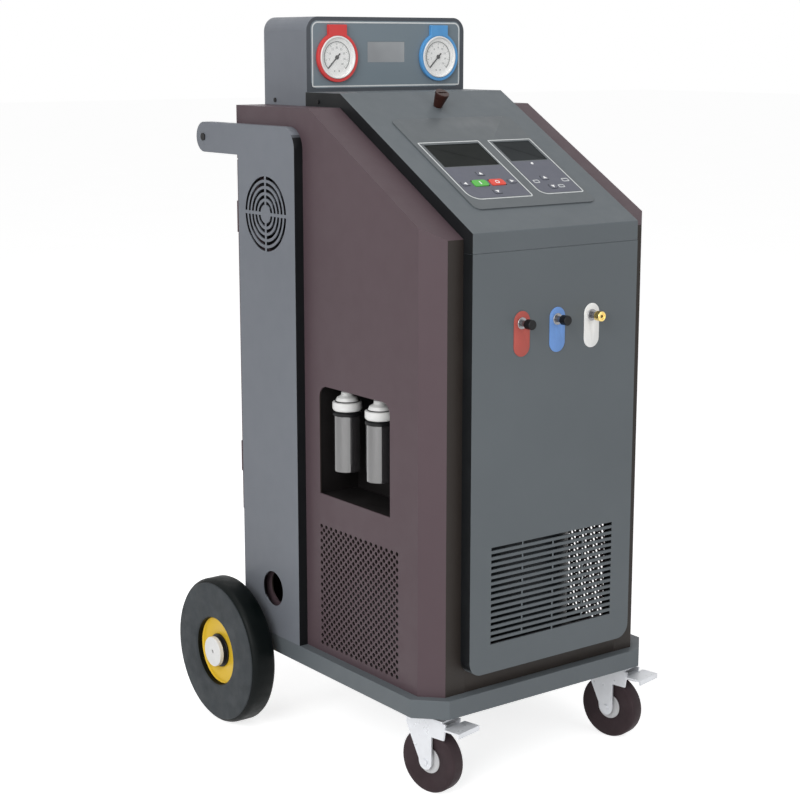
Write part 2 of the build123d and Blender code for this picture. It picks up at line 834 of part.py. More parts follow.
# Port caps: blind caps over the red and blue couplings
for cap_name, cap_x in (("red_port_cap", -port_spacing), ("blue_port_cap", 0)):
    with BuildPart() as port_cap:
        with BuildSketch(facing(cap_start_d)):
            with Locations((cap_x, port_z)):
                Circle(cap_radius)
        extrude(amount=front_reach + cap_start_d)
        with BuildSketch(facing(cap_start_d)):
            with Locations((cap_x, port_z)):
                Circle(neck_radius + fit_gap)
        extrude(amount=cap_start_d - neck_end_d + 1, mode=Mode.SUBTRACT)
        cap_end = edges().filter_by(GeomType.CIRCLE).sort_by(Axis.Y)[0]
        fillet(cap_end, 1.5)
    port_cap.part.label = cap_name
    export_step(port_cap.part, f"parts/{cap_name}.step")

# Bottle recess: dark box behind the window, open to the left
with BuildPart() as bottle_recess:
    recess_depth = body_half - sheet - recess_inner
    recess_y = at((window_front_d + window_rear_d) / 2)
    recess_z = (window_bottom + window_top) / 2
    recess_length = window_rear_d - window_front_d + 2 * recess_margin
    recess_height = window_top - window_bottom + 2 * recess_margin
    with Locations((-body_half + sheet, recess_y, recess_z)):
        Box(recess_depth, recess_length, recess_height, align=(Align.MIN, Align.CENTER, Align.CENTER))
    with Locations((-body_half + sheet, recess_y, recess_z)):
        Box(
            recess_depth - recess_wall,
            recess_length - 2 * recess_wall,
            recess_height - 2 * recess_wall,
            align=(Align.MIN, Align.CENTER, Align.CENTER),
            mode=Mode.SUBTRACT,
        )
bottle_recess.part.label = "bottle_recess"
export_step(bottle_recess.part, "parts/bottle_recess.step")

# Oil bottles: hollow, with a neck that goes up into the lid ring
for bottle_name, bottle_d in (("front_oil_bottle", front_bottle_d), ("rear_oil_bottle", rear_bottle_d)):
    with BuildPart() as oil_bottle:
        with BuildSketch(Plane.XY.offset(bottle_bottom)):
            with Locations((bottle_x, at(bottle_d))):
                Circle(bottle_radius)
        extrude(amount=bottle_shoulder - bottle_bottom)
        with BuildSketch(Plane.XY.offset(bottle_shoulder)):
            with Locations((bottle_x, at(bottle_d))):
                Circle(bottle_neck_radius)
        extrude(amount=bottle_neck - bottle_shoulder)
        with BuildSketch(Plane.XY.offset(bottle_bottom + bottle_wall)):
            with Locations((bottle_x, at(bottle_d))):
                Circle(bottle_radius - bottle_wall)
        extrude(amount=bottle_shoulder - bottle_bottom - 2 * bottle_wall, mode=Mode.SUBTRACT)
        with BuildSketch(Plane.XY.offset(bottle_shoulder - bottle_wall)):
            with Locations((bottle_x, at(bottle_d))):
                Circle(bottle_neck_radius - bottle_wall)
        extrude(amount=bottle_neck - bottle_shoulder + bottle_wall, mode=Mode.SUBTRACT)
        foot_edge = edges().filter_by(GeomType.CIRCLE).sort_by(Axis.Z)[0]
        fillet(foot_edge, 1.2)
    oil_bottle.part.label = bottle_name
    export_step(oil_bottle.part, f"parts/{bottle_name}.step")

# Bottle lids: fixed lids that hang from the recess ceiling, each with its ring and spout
with BuildPart() as bottle_lids:
    ceiling = window_top + recess_margin - recess_wall
    with BuildSketch(Plane.XY.offset(bottle_shoulder + fit_gap)):
        with Locations((bottle_x, at(front_bottle_d)), (bottle_x, at(rear_bottle_d))):
            Circle(ring_radius)
    extrude(amount=lid_bottom - bottle_shoulder - fit_gap)
    with BuildSketch(Plane.XY.offset(lid_bottom)):
        with Locations((bottle_x, at(front_bottle_d)), (bottle_x, at(rear_bottle_d))):
            Circle(lid_radius)
    extrude(amount=lid_top - lid_bottom)
    with BuildSketch(Plane.XY.offset(bottle_shoulder)):
        with Locations((bottle_x, at(front_bottle_d)), (bottle_x, at(rear_bottle_d))):
            Circle(bottle_neck_radius + fit_gap)
    extrude(amount=bottle_neck - bottle_shoulder + 1, mode=Mode.SUBTRACT)
    with BuildSketch(Plane.XY.offset(lid_top)):
        with Locations((bottle_x, at(front_bottle_d)), (bottle_x, at(rear_bottle_d))):
            Circle(9)
    extrude(amount=6)
    with BuildSketch(Plane.XY.offset(lid_top)):
        with Locations((bottle_x, at(front_bottle_d)), (bottle_x, at(rear_bottle_d))):
            Circle(4.5)
    extrude(amount=ceiling - lid_top)
bottle_lids.part.label = "bottle_lids"
export_step(bottle_lids.part, "parts/bottle_lids.step")

# Condenser unit: square fan shroud with motor arms, finned condenser block behind it
with BuildPart() as condenser_unit:
    shroud_x = -body_half + sheet
    with Locations((shroud_x, at(grille_d), grille_z)):
        Box(fan_thick, fan_square, fan_square, align=(Align.MIN, Align.CENTER, Align.CENTER))
    with BuildSketch(side_plane(shroud_x)):
        with Locations((at(grille_d), grille_z)):
            Circle(fan_bore)
    extrude(amount=fan_thick, mode=Mode.SUBTRACT)
    with BuildSketch(side_plane(shroud_x + fan_thick - 3)):
        with Locations((at(grille_d), grille_z)):
            Circle(fan_hub)
            with PolarLocations(0, 2, angular_range=180, start_angle=45):
                Rectangle(2 * fan_bore + 2, 8)
            Circle(2 + shaft_gap, mode=Mode.SUBTRACT)
    extrude(amount=3)
    with Locations((shroud_x + fan_thick, at(grille_d), grille_z)):
        Box(condenser_thick, fan_square, fan_square, align=(Align.MIN, Align.CENTER, Align.CENTER))
    with Locations((shroud_x + fan_thick, at(grille_d), grille_z)):
        with GridLocations(0, 0, 1, 1):
            fin_gap = (fan_square - 10) / fin_count
            for fin in range(fin_count):
                fin_z = -fan_square / 2 + 5 + (fin + 0.5) * fin_gap
                with Locations((0, 0, fin_z)):
                    Box(
                        condenser_thick - 3,
                        fan_square - 10,
                        fin_gap - 2,
                        align=(Align.MIN, Align.CENTER, Align.CENTER),
                        mode=Mode.SUBTRACT,
                    )
condenser_unit.part.label = "condenser_unit"
export_step(condenser_unit.part, "parts/condenser_unit.step")

# Fan rotor: hub with pitched blades and a short shaft into the shroud
with BuildPart() as fan_rotor:
    with BuildSketch(side_plane(shroud_x + 4)):
        with Locations((at(grille_d), grille_z)):
            Circle(fan_hub)
    extrude(amount=fan_thick - 8)
    with BuildSketch(side_plane(shroud_x + fan_thick - 4)):
        with Locations((at(grille_d), grille_z)):
            Circle(2)
    extrude(amount=3.5)
    with Locations((shroud_x + fan_thick / 2, at(grille_d), grille_z)):
        with Locations(Rotation(0, 90, 0)):
            with PolarLocations((fan_hub + fan_bore) / 2 - 2, fan_blades):
                with Locations(Rotation(28, 0, 0)):
                    Box(fan_bore - fan_hub - 2, 24, 2)
fan_rotor.part.label = "fan_rotor"
export_step(fan_rotor.part, "parts/fan_rotor.step")

# Handle bar between the two arms
with BuildPart(Plane.YZ.offset(-body_half)) as handle_bar:
    with Locations((at(arm_screw_d), arm_axis)):
        Cylinder(bar_radius, 2 * body_half, align=(Align.CENTER, Align.CENTER, Align.MIN))
        Cylinder(3.2, 14, align=(Align.CENTER, Align.CENTER, Align.MIN), mode=Mode.SUBTRACT)
    with Locations((at(arm_screw_d), arm_axis, 2 * body_half)):
        Cylinder(3.2, 14, align=(Align.CENTER, Align.CENTER, Align.MAX), mode=Mode.SUBTRACT)
handle_bar.part.label = "handle_bar"
export_step(handle_bar.part, "parts/handle_bar.step")

# Cover screws: two arm screws, and a small screw on each side of the pod and of the console top
console_screw_d = console_rear_d - 35
pod_screw_d = console_rear_d + 90
arm_screw_head = 6.0
pod_screw_z = 1007.5
with BuildPart() as cover_screws:
    for side in (-1, 1):
        with BuildSketch(side_plane(side * (body_half + column_thick))):
            with Locations((at(arm_screw_d), arm_axis)):
                Circle(arm_screw_head)
        extrude(amount=side * 2)
        with BuildSketch(side_plane(side * (body_half + column_thick))):
            with Locations((at(arm_screw_d), arm_axis)):
                Circle(3)
        extrude(amount=-side * (column_thick + 10))
        with BuildSketch(side_plane(side * pod_half)):
            with Locations((at(pod_screw_d), pod_screw_z)):
                Circle(3.5)
        extrude(amount=side * 1.5)
        with BuildSketch(side_plane(side * panel_half)):
            with Locations((at(console_screw_d), pod_screw_z)):
                Circle(3.5)
        extrude(amount=side * 1.5)
cover_screws.part.label = "cover_screws"
export_step(cover_screws.part, "parts/cover_screws.step")

# Rear axle
axle_half = axle_cap_outer - 4
with BuildPart(Plane.YZ.offset(-axle_half)) as rear_axle:
    with Locations((at(axle_d), axle_z)):
        Cylinder(axle_radius, 2 * axle_half, align=(Align.CENTER, Align.CENTER, Align.MIN))
rear_axle.part.label = "rear_axle"
export_step(rear_axle.part, "parts/rear_axle.step")

# Rear tyres, hubs and axle caps
tyre_width = tyre_outer - tyre_inner
with BuildPart() as axle_caps:
    for side in (-1, 1):
        cap_inner = tyre_outer - hub_sink + 1
        with BuildSketch(side_plane(side * cap_inner)):
            with Locations((at(axle_d), axle_z)):
                Circle(axle_cap_radius)
        extrude(amount=side * (axle_cap_outer - cap_inner))
        with BuildSketch(side_plane(side * cap_inner)):
            with Locations((at(axle_d), axle_z)):
                Circle(axle_radius)
        extrude(amount=side * (axle_half - cap_inner), mode=Mode.SUBTRACT)
    outer_rims = edges().filter_by(GeomType.CIRCLE).group_by(Axis.X)
    fillet(outer_rims[0] + outer_rims[-1], 2)
axle_caps.part.label = "axle_caps"
export_step(axle_caps.part, "parts/axle_caps.step")

for side_name, side in (("left", -1), ("right", 1)):
    wheel_plane = Plane(
        origin=(side * tyre_inner, at(axle_d), axle_z),
        x_dir=(0, 1, 0),
        z_dir=(side, 0, 0),
    )
    with BuildPart() as rear_tyre:
        with BuildSketch(wheel_plane):
            Circle(tyre_radius)
        extrude(amount=tyre_width)
        tread_edges = edges().filter_by(GeomType.CIRCLE)
        fillet(tread_edges, tyre_shoulder)
        with BuildSketch(wheel_plane):
            Circle(hub_radius)
        extrude(amount=tyre_width, mode=Mode.SUBTRACT)
    rear_tyre.part.label = f"{side_name}_rear_tyre"
    export_step(rear_tyre.part, f"parts/{side_name}_rear_tyre.step")
    with BuildPart() as rear_hub:
        with BuildSketch(wheel_plane):
            Circle(hub_radius)
        extrude(amount=tyre_width - hub_sink)
        with BuildSketch(wheel_plane):
            Circle(hub_radius - 6)
            Circle(boss_radius, mode=Mode.SUBTRACT)
        extrude(amount=14, mode=Mode.SUBTRACT)
        with BuildSketch(wheel_plane.offset(tyre_width - hub_sink)):
            Circle(hub_radius - 6)
            Circle(boss_radius + 8, mode=Mode.SUBTRACT)
        extrude(amount=-10, mode=Mode.SUBTRACT)
        with BuildSketch(wheel_plane):
            Circle(axle_radius + shaft_gap)
        extrude(amount=tyre_width, mode=Mode.SUBTRACT)
    rear_hub.part.label = f"{side_name}_rear_hub"
    export_step(rear_hub.part, f"parts/{side_name}_rear_hub.step")

# Castor top plates with their fixed races, under the front corners of the tray
turn_cos = math.cos(math.radians(castor_turn))
turn_sin = math.sin(math.radians(castor_turn))


def castor_frame(side, height):
    """Horizontal plane at a castor: local y points back, local x is the wheel axle."""
    return Plane(
        origin=(side * castor_x, at(castor_d), height),
        x_dir=(turn_cos, turn_sin, 0),
        z_dir=(0, 0, 1),
    )


def castor_side(side, offset_x):
    """Upright plane at a castor, square to its axle: local x points back, local y is up."""
    return Plane(
        origin=(side * castor_x + offset_x * turn_cos, at(castor_d) + offset_x * turn_sin, 0),
        x_dir=(-turn_sin, turn_cos, 0),
        z_dir=(turn_cos, turn_sin, 0),
    )


race_bottom = tray_bottom - castor_plate[2] - race_height
with BuildPart() as castor_plates:
    with BuildSketch(Plane.XY.offset(tray_bottom - castor_plate[2])):
        with Locations((castor_x, at(castor_d)), (-castor_x, at(castor_d))):
            RectangleRounded(castor_plate[0], castor_plate[1], 8)
    extrude(amount=castor_plate[2])
    with BuildSketch(Plane.XY.offset(race_bottom)):
        with Locations((castor_x, at(castor_d)), (-castor_x, at(castor_d))):
            Circle(race_radius)
    extrude(amount=race_height)
    with BuildSketch(Plane.XY.offset(race_bottom)):
        with Locations((castor_x, at(castor_d)), (-castor_x, at(castor_d))):
            Circle(pin_radius + shaft_gap)
    extrude(amount=race_height + castor_plate[2] - 1, mode=Mode.SUBTRACT)
castor_plates.part.label = "castor_plates"
export_step(castor_plates.part, "parts/castor_plates.step")

crown_top = race_bottom - 0.2
crown_bottom = crown_top - crown_thick
cheek_outer = cheek_inner + cheek_thick
for side_name, side in (("left", -1), ("right", 1)):
    # Fork: crown, two cheeks with legs, swivel pin and wheel bolt
    with BuildPart() as castor_fork:
        with BuildSketch(castor_frame(side, crown_bottom)):
            Circle(crown_radius)
            with Locations((0, pedal_pivot_y / 2)):
                Rectangle(2 * cheek_outer, -pedal_pivot_y)
        extrude(amount=crown_thick)
        for cheek_x in (-cheek_outer, cheek_inner):
            with BuildSketch(castor_side(side, cheek_x)):
                with BuildLine():
                    Polyline(
                        (-castor_trail - 12, castor_radius + 2),
                        (-castor_trail + 12, castor_radius + 2),
                        (4, crown_bottom - 14),
                        (4, crown_bottom),
                        (pedal_pivot_y - 6, crown_bottom),
                        (pedal_pivot_y - 2, 92),
                        (-castor_trail - 12, 92),
                        close=True,
                    )
                make_face()
                with Locations((-castor_trail, castor_radius)):
                    Circle(12)
            extrude(amount=cheek_thick)
        with BuildSketch(castor_frame(side, crown_top)):
            Circle(pin_radius)
        extrude(amount=race_height)
        with BuildSketch(castor_side(side, -cheek_outer - 3)):
            with Locations((-castor_trail, castor_radius)):
                Circle(castor_axle_radius)
        extrude(amount=2 * cheek_outer + 6)
        with BuildSketch(castor_side(side, -cheek_outer)):
            with Locations((pedal_pivot_y, pedal_pivot_z)):
                Circle(pedal_pin + shaft_gap)
        extrude(amount=2 * cheek_outer, mode=Mode.SUBTRACT)
    castor_fork.part.label = f"{side_name}_castor_fork"
    export_step(castor_fork.part, f"parts/{side_name}_castor_fork.step")

    # Castor wheel: solid tyre round a dished hub
    with BuildPart() as castor_wheel:
        with BuildSketch(castor_side(side, -castor_width / 2)):
            with Locations((-castor_trail, castor_radius)):
                Circle(castor_radius)
        extrude(amount=castor_width)
        fillet(edges().filter_by(GeomType.CIRCLE), 4)
        for dish_start, dish_way in ((-castor_width / 2, 1), (castor_width / 2, -1)):
            with BuildSketch(castor_side(side, dish_start)):
                with Locations((-castor_trail, castor_radius)):
                    Circle(28)
                    Circle(10, mode=Mode.SUBTRACT)
            extrude(amount=3 * dish_way, mode=Mode.SUBTRACT)
        with BuildSketch(castor_side(side, -castor_width / 2)):
            with Locations((-castor_trail, castor_radius)):
                Circle(castor_axle_radius + shaft_gap)
        extrude(amount=castor_width, mode=Mode.SUBTRACT)
    castor_wheel.part.label = f"{side_name}_castor_wheel"
    export_step(castor_wheel.part, f"parts/{side_name}_castor_wheel.step")

    # Brake pedal: flat pedal with a turned down lip, pinned between the cheeks
    with BuildPart() as brake_pedal:
        pedal_top = pedal_pivot_z + 6
        with BuildSketch(castor_side(side, -cheek_inner + fit_gap)):
            with Locations((pedal_pivot_y, pedal_pivot_z)):
                Circle(pedal_pin + 2)
            with BuildLine():
                Polyline(
                    (pedal_pivot_y + 4, pedal_pivot_z),
                    (pedal_pivot_y + 4, pedal_pivot_z + 3),
                    (pedal_pivot_y - 9, pedal_top),
                    (pedal_pivot_y - 9, pedal_top - pedal_thick),
                    (pedal_pivot_y - 4, pedal_pivot_z),
                    close=True,
                )
            make_face()
        extrude(amount=2 * (cheek_inner - fit_gap))
        with BuildSketch(castor_frame(side, pedal_top - pedal_thick)):
            with Locations((0, (pedal_pivot_y - 8 - pedal_reach) / 2)):
                Rectangle(2 * pedal_half, pedal_reach + pedal_pivot_y - 8)
        extrude(amount=pedal_thick)
        with BuildSketch(castor_frame(side, pedal_top - pedal_thick)):
            with Locations((0, -pedal_reach + pedal_thick / 2)):
                Rectangle(2 * pedal_half, pedal_thick)
        extrude(amount=-5)
        with BuildSketch(castor_side(side, -cheek_outer)):
            with Locations((pedal_pivot_y, pedal_pivot_z)):
                Circle(pedal_pin)
        extrude(amount=2 * cheek_outer)
    brake_pedal.part.label = f"{side_name}_brake_pedal"
    export_step(brake_pedal.part, f"parts/{side_name}_brake_pedal.step")

# Power inlet: flanged module in the rear panel with its socket and the switch well
inlet_back_d = body_rear_d + inlet_flange
with BuildPart() as power_inlet:
    with Locations((inlet_x, at(body_rear_d), inlet_z)):
        Box(inlet_width, inlet_flange, inlet_height, align=(Align.CENTER, Align.MIN, Align.CENTER))
        Box(
            inlet_width - 8.4,
            inlet_depth,
            inlet_height - 8.4,
            align=(Align.CENTER, Align.MAX, Align.CENTER),
        )
    with Locations((inlet_x, at(inlet_back_d), inlet_z - 14)):
        Box(27, 22, 20, align=(Align.CENTER, Align.MAX, Align.CENTER), mode=Mode.SUBTRACT)
    with Locations((inlet_x, at(inlet_back_d), rocker_z)):
        Box(
            rocker_width + 2 * fit_gap,
            14,
            rocker_height + 2 * fit_gap + 1,
            align=(Align.CENTER, Align.MAX, Align.CENTER),
            mode=Mode.SUBTRACT,
        )
    with Locations(
        (inlet_x - 6, at(inlet_back_d - 22), inlet_z - 14),
        (inlet_x + 6, at(inlet_back_d - 22), inlet_z - 14),
        (inlet_x, at(inlet_back_d - 22), inlet_z - 9),
    ):
        Box(2, 15, 4, align=(Align.CENTER, Align.MIN, Align.CENTER))
power_inlet.part.label = "power_inlet"
export_step(power_inlet.part, "parts/power_inlet.step")

# Rocker switch: pivots about X inside the well
with BuildPart() as rocker_switch:
    with BuildSketch(side_plane(inlet_x - rocker_width / 2)):
        with BuildLine():
            Polyline(
                (at(inlet_back_d - 7), rocker_z - rocker_height / 2 + 3),
                (at(inlet_back_d - 7), rocker_z + rocker_height / 2 - 3),
                (at(inlet_back_d + 1.5), rocker_z + rocker_height / 2 - 0.6),
                (at(inlet_back_d + 0.3), rocker_z),
                (at(inlet_back_d + 1.5), rocker_z - rocker_height / 2 + 0.6),
                close=True,
            )
        make_face()
    extrude(amount=rocker_width)
rocker_switch.part.label = "rocker_switch"
export_step(rocker_switch.part, "parts/rocker_switch.step")

# Refrigerant tank on its scale platform
with BuildPart() as refrigerant_tank:
    with Locations((tank_x, at(tank_d), tray_top)):
        Box(scale_size, scale_size, scale_height, align=(Align.CENTER, Align.CENTER, Align.MIN))
    with Locations((tank_x, at(tank_d), tray_top + scale_height)):
        Cylinder(tank_radius - 12, 20, align=(Align.CENTER, Align.CENTER, Align.MIN))
    with Locations((tank_x, at(tank_d), tray_top + scale_height + 20)):
        Cylinder(
            tank_radius,
            tank_top - tray_top - scale_height - 20,
            align=(Align.CENTER, Align.CENTER, Align.MIN),
        )
    shoulder_edges = edges().filter_by(GeomType.CIRCLE).sort_by(Axis.Z)[-1]
    fillet(shoulder_edges, 45)
    with Locations((tank_x, at(tank_d), tank_top)):
        Cylinder(16, 34, align=(Align.CENTER, Align.CENTER, Align.MIN))
refrigerant_tank.part.label = "refrigerant_tank"
export_step(refrigerant_tank.part, "parts/refrigerant_tank.step")

# Vacuum pump: oil case, motor drum and foot plate
with BuildPart() as vacuum_pump:
    with Locations((pump_x, at(pump_d), tray_top)):
        Box(*pump_foot, align=(Align.CENTER, Align.CENTER, Align.MIN))
    with Locations((pump_x, at(pump_d - pump_case_shift), tray_top + pump_foot[2])):
        Box(*pump_case, align=(Align.CENTER, Align.CENTER, Align.MIN))
    with Locations((pump_x, at(pump_d + 35), tray_top + 78)):
        Cylinder(48, 116, rotation=(90, 0, 0))
    with Locations((pump_x, at(pump_d + 35), tray_top + pump_foot[2])):
        Box(60, 90, 40, align=(Align.CENTER, Align.CENTER, Align.MIN))
    with Locations((pump_x, at(pump_d - pump_case_shift), tray_top + pump_foot[2] + pump_case[2])):
        Cylinder(9, 40, align=(Align.CENTER, Align.CENTER, Align.MIN))
vacuum_pump.part.label = "vacuum_pump"
export_step(vacuum_pump.part, "parts/vacuum_pump.step")

# Compressor: domed can on three feet
with BuildPart() as compressor:
    with Locations((compressor_x, at(compressor_d), tray_top + 12)):
        Cylinder(
            compressor_radius,
            compressor_top - tray_top - 12,
            align=(Align.CENTER, Align.CENTER, Align.MIN),
        )
    dome_edge = edges().filter_by(GeomType.CIRCLE).sort_by(Axis.Z)[-1]
    fillet(dome_edge, 36)
    with Locations((compressor_x, at(compressor_d), tray_top)):
        with PolarLocations(compressor_radius - 6, 3):
            Cylinder(12, 14, align=(Align.CENTER, Align.CENTER, Align.MIN))
compressor.part.label = "compressor"
export_step(compressor.part, "parts/compressor.step")
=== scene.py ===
import math

import bpy
from mathutils import Matrix, Vector


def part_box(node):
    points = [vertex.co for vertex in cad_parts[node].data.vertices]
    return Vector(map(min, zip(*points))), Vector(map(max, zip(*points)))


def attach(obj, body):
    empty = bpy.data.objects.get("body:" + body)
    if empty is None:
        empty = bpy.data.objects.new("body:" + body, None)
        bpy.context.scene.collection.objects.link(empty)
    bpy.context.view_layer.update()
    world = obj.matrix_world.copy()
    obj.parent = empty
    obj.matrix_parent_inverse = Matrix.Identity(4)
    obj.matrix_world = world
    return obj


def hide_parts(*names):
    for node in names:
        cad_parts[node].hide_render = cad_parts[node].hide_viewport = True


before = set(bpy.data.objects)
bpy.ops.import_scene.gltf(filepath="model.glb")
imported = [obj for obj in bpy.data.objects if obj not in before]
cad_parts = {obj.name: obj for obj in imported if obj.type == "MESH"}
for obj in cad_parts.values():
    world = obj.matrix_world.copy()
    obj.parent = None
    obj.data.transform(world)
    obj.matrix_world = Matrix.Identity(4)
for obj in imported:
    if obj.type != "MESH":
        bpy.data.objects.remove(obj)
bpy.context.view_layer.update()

bl_info = {
    "name": "Recharge station looks",
    "version": (1, 0, 0),
    "blender": (4, 5, 0),
    "location": "View3D > Sidebar > Station",
    "description": "Dresses the packed air conditioning recharge station",
    "category": "Object",
}

HOUSING_FRONT = -0.275
SLOPE = math.radians(30)
SLOPE_FOOT = Vector((0, -0.296, 0.837))
FINISHES = {}

# Places in millimetres; a depth is measured back from the housing front plane.
SHEET_INNER, SHEET_OUTER, PUNCH_START, PUNCH_END = 212.51, 214.99, 205, 225
VENT_LOW, VENT_HIGH, VENT_BORDER = (79.0, 175.0), (281.0, 375.0), 3
LOWER_HOLE_DEPTH, LOWER_HOLE_HEIGHT, LOWER_HOLE_RADIUS = 391, 236, 28.5
WHEEL_X, WHEEL_DEPTH, WHEEL_HEIGHT = 245.6, 475, 119.5
CASTOR_X, CASTOR_DEPTH, CASTOR_HEIGHT, CASTOR_TRAIL = 183, 74, 50, 33
PLATE_TOP = 2.0
GAUGE_X, GAUGE_HEIGHT, DIAL_TOP, FIGURE_RADIUS = 100, 1074, 2.2, 14.6
POD_FACE, SLAB_FACE = 391.5, -21
PORT_X, PORT_HEIGHT = 67.5, 704
BOTTLE_X, BOTTLE_DEPTHS = -188, (157.5, 241.5)

# Turns in degrees.
CASTOR_TURN, SCALE_START, SCALE_SWEEP = 12, 225, 270


def at(depth):
    """Y position, in metres, of a depth in millimetres behind the housing front plane."""
    return HOUSING_FRONT + depth / 1000


def mm(*values):
    """Millimetres as a vector in metres."""
    return Vector([v / 1000 for v in values])


def point(x, depth, height=0):
    """A point of the frame, in metres, from its x, depth and height in millimetres."""
    return Vector((x / 1000, at(depth), height / 1000))


def moved(*values):
    """Matrix that shifts by millimetres."""
    return Matrix.Translation(mm(*values))


def on_slope():
    """Matrix that lays a flat piece on the console slope: x across, y up the slope, z out of it."""
    return Matrix.Translation(SLOPE_FOOT) @ Matrix.Rotation(SLOPE, 4, "X")


def on_front(depth):
    """Matrix that stands a flat piece upright, its z towards the viewer, at a depth in millimetres."""
    return Matrix.Translation((0, at(depth), 0)) @ Matrix.Rotation(math.pi / 2, 4, "X")


def mode(name):
    bpy.ops.object.mode_set(mode=name)


def fresh():
    """Leave edit mode and let go of every object."""
    if bpy.context.object and bpy.context.object.mode != "OBJECT":
        mode("OBJECT")
    bpy.ops.object.select_all(action="DESELECT")


def take(*objs):
    """Select only these objects, the first one active."""
    fresh()
    for obj in objs:
        obj.select_set(True)
    bpy.context.view_layer.objects.active = objs[0]
    return objs[0]


def settle(obj, matrix=None):
    """Put the place, turn and size of an object into its mesh, after an extra matrix."""
    if matrix is not None:
        obj.matrix_world = matrix @ obj.matrix_world
    take(obj)
    bpy.ops.object.transform_apply(location=True, rotation=True, scale=True)
    return obj


def block(low, high):
    """A box between two corners, in metres."""
    fresh()
    low, high = Vector(low), Vector(high)
    bpy.ops.mesh.primitive_cube_add(size=1, location=(low + high) / 2, scale=high - low)
    return settle(bpy.context.object)


def rod(radius, start, end, sides=32):
    """A round bar from one point to another, in metres."""
    fresh()
    start, end = Vector(start), Vector(end)
    way = end - start
    bpy.ops.mesh.primitive_cone_add(
        vertices=sides, radius1=radius, radius2=radius, depth=way.length,
        location=(start + end) / 2, rotation=way.to_track_quat("Z", "Y").to_euler())
    return settle(bpy.context.object)


def shape(obj, kind, test, *steps):
    """Select faces, edges or vertices by their place and direction, and run edit mode steps on them."""
    take(obj)
    bpy.context.tool_settings.mesh_select_mode = [kind == k for k in ("VERT", "EDGE", "FACE")]
    mode("EDIT")
    bpy.ops.mesh.select_all(action="DESELECT")
    mode("OBJECT")
    mesh = obj.data
    if kind == "FACE":
        for face in mesh.polygons:
            face.select = bool(test(face.center, face.normal))
    elif kind == "EDGE":
        for edge in mesh.edges:
            a, b = (mesh.vertices[i].co for i in edge.vertices)
            edge.select = bool(test((a + b) / 2, (b - a).normalized()))
    else:
        for vertex in mesh.vertices:
            vertex.select = bool(test(vertex.co, vertex.normal))
    mode("EDIT")
    for step in steps:
        step()
    mode("OBJECT")
    return obj


def plate(low, high, corners=(0, 0, 0, 0), thick=0.0, steps=8):
    """A flat plate in the xy plane, in millimetres; its corners are rounded one by one from lower left."""
    fresh()
    bpy.ops.mesh.primitive_plane_add(size=1, location=mm((low[0] + high[0]) / 2, (low[1] + high[1]) / 2, 0))
    obj = bpy.context.object
    obj.scale = (high[0] - low[0]) / 1000, (high[1] - low[1]) / 1000, 1
    settle(obj)
    spots = ((low[0], low[1]), (high[0], low[1]), (high[0], high[1]), (low[0], high[1]))
    for spot, radius in zip(spots, corners):
        if radius:
            here = mm(*spot, 0)
            shape(obj, "VERT", lambda co, n: (co - here).length < 2e-4,
                  lambda: bpy.ops.mesh.bevel(offset=radius / 1000, segments=steps, affect="VERTICES"))
    if thick:
        thicken(obj, thick)
    return obj


def thicken(obj, thick):
    """Give a flat piece a wall, in millimetres, along its normals."""
    mod = obj.modifiers.new("wall", "SOLIDIFY")
    mod.thickness, mod.offset = thick / 1000, 1
    take(obj)
    bpy.ops.object.modifier_apply(modifier=mod.name)
    return obj


def line_frame(low, high, corners, width, thick):
    """A thin printed line round a rounded plate."""
    obj = plate(low, high, corners)
    shape(obj, "FACE", lambda c, n: True,
          lambda: bpy.ops.mesh.inset(thickness=width / 1000, use_even_offset=True),
          lambda: bpy.ops.mesh.delete(type="FACE"))
    return thicken(obj, thick)


def disc(radius, centre, thick, sides=48):
    """A round plate in the xy plane, in millimetres."""
    low = mm(centre[0], centre[1], centre[2] if len(centre) > 2 else 0)
    return rod(radius / 1000, low, low + mm(0, 0, thick), sides)


def lathe(profile, sides=64, closed=False):
    """A turned piece round Z, ring by ring along a profile of radius and height in millimetres."""
    fresh()
    profile = [*profile, profile[0]] if closed else profile
    radius, height = profile[0]
    bpy.ops.mesh.primitive_circle_add(vertices=sides, radius=radius / 1000, location=mm(0, 0, height))
    obj = settle(bpy.context.object)
    bpy.context.tool_settings.mesh_select_mode = (True, False, False)
    mode("EDIT")
    bpy.ops.mesh.select_all(action="SELECT")
    for new_radius, new_height in profile[1:]:
        bpy.ops.mesh.extrude_region_move(TRANSFORM_OT_translate={"value": mm(0, 0, new_height - height)})
        if new_radius != radius:
            grow = new_radius / radius
            bpy.ops.transform.resize(value=(grow, grow, 1), center_override=mm(0, 0, new_height))
        radius, height = new_radius, new_height
    bpy.ops.mesh.select_all(action="SELECT")
    bpy.ops.mesh.remove_doubles(threshold=1e-6)
    if not closed:
        bpy.ops.mesh.fill_holes(sides=0)
    bpy.ops.mesh.normals_make_consistent(inside=False)
    mode("OBJECT")
    return obj


def soften(obj, width, segments=2, angle=35, keep=False):
    """Round off the edges of a piece by a width in millimetres; kept live on a carried-over node."""
    if keep:
        weld = obj.modifiers.new("weld", "WELD")
        weld.merge_threshold = 1e-6
    mod = obj.modifiers.new("edges", "BEVEL")
    mod.width, mod.segments = width / 1000, segments
    mod.limit_method, mod.angle_limit = "ANGLE", math.radians(angle)
    mod.harden_normals = keep
    if not keep:
        take(obj)
        bpy.ops.object.modifier_apply(modifier=mod.name)
    return obj


def cut(obj, *tools, way="DIFFERENCE"):
    """Cut, join or cross a piece with others, which are used up."""
    for tool in tools:
        mod = obj.modifiers.new("cut", "BOOLEAN")
        mod.object, mod.operation, mod.solver = tool, way, "EXACT"
        take(obj)
        bpy.ops.object.modifier_apply(modifier=mod.name)
        bpy.data.objects.remove(tool, do_unlink=True)
    return obj


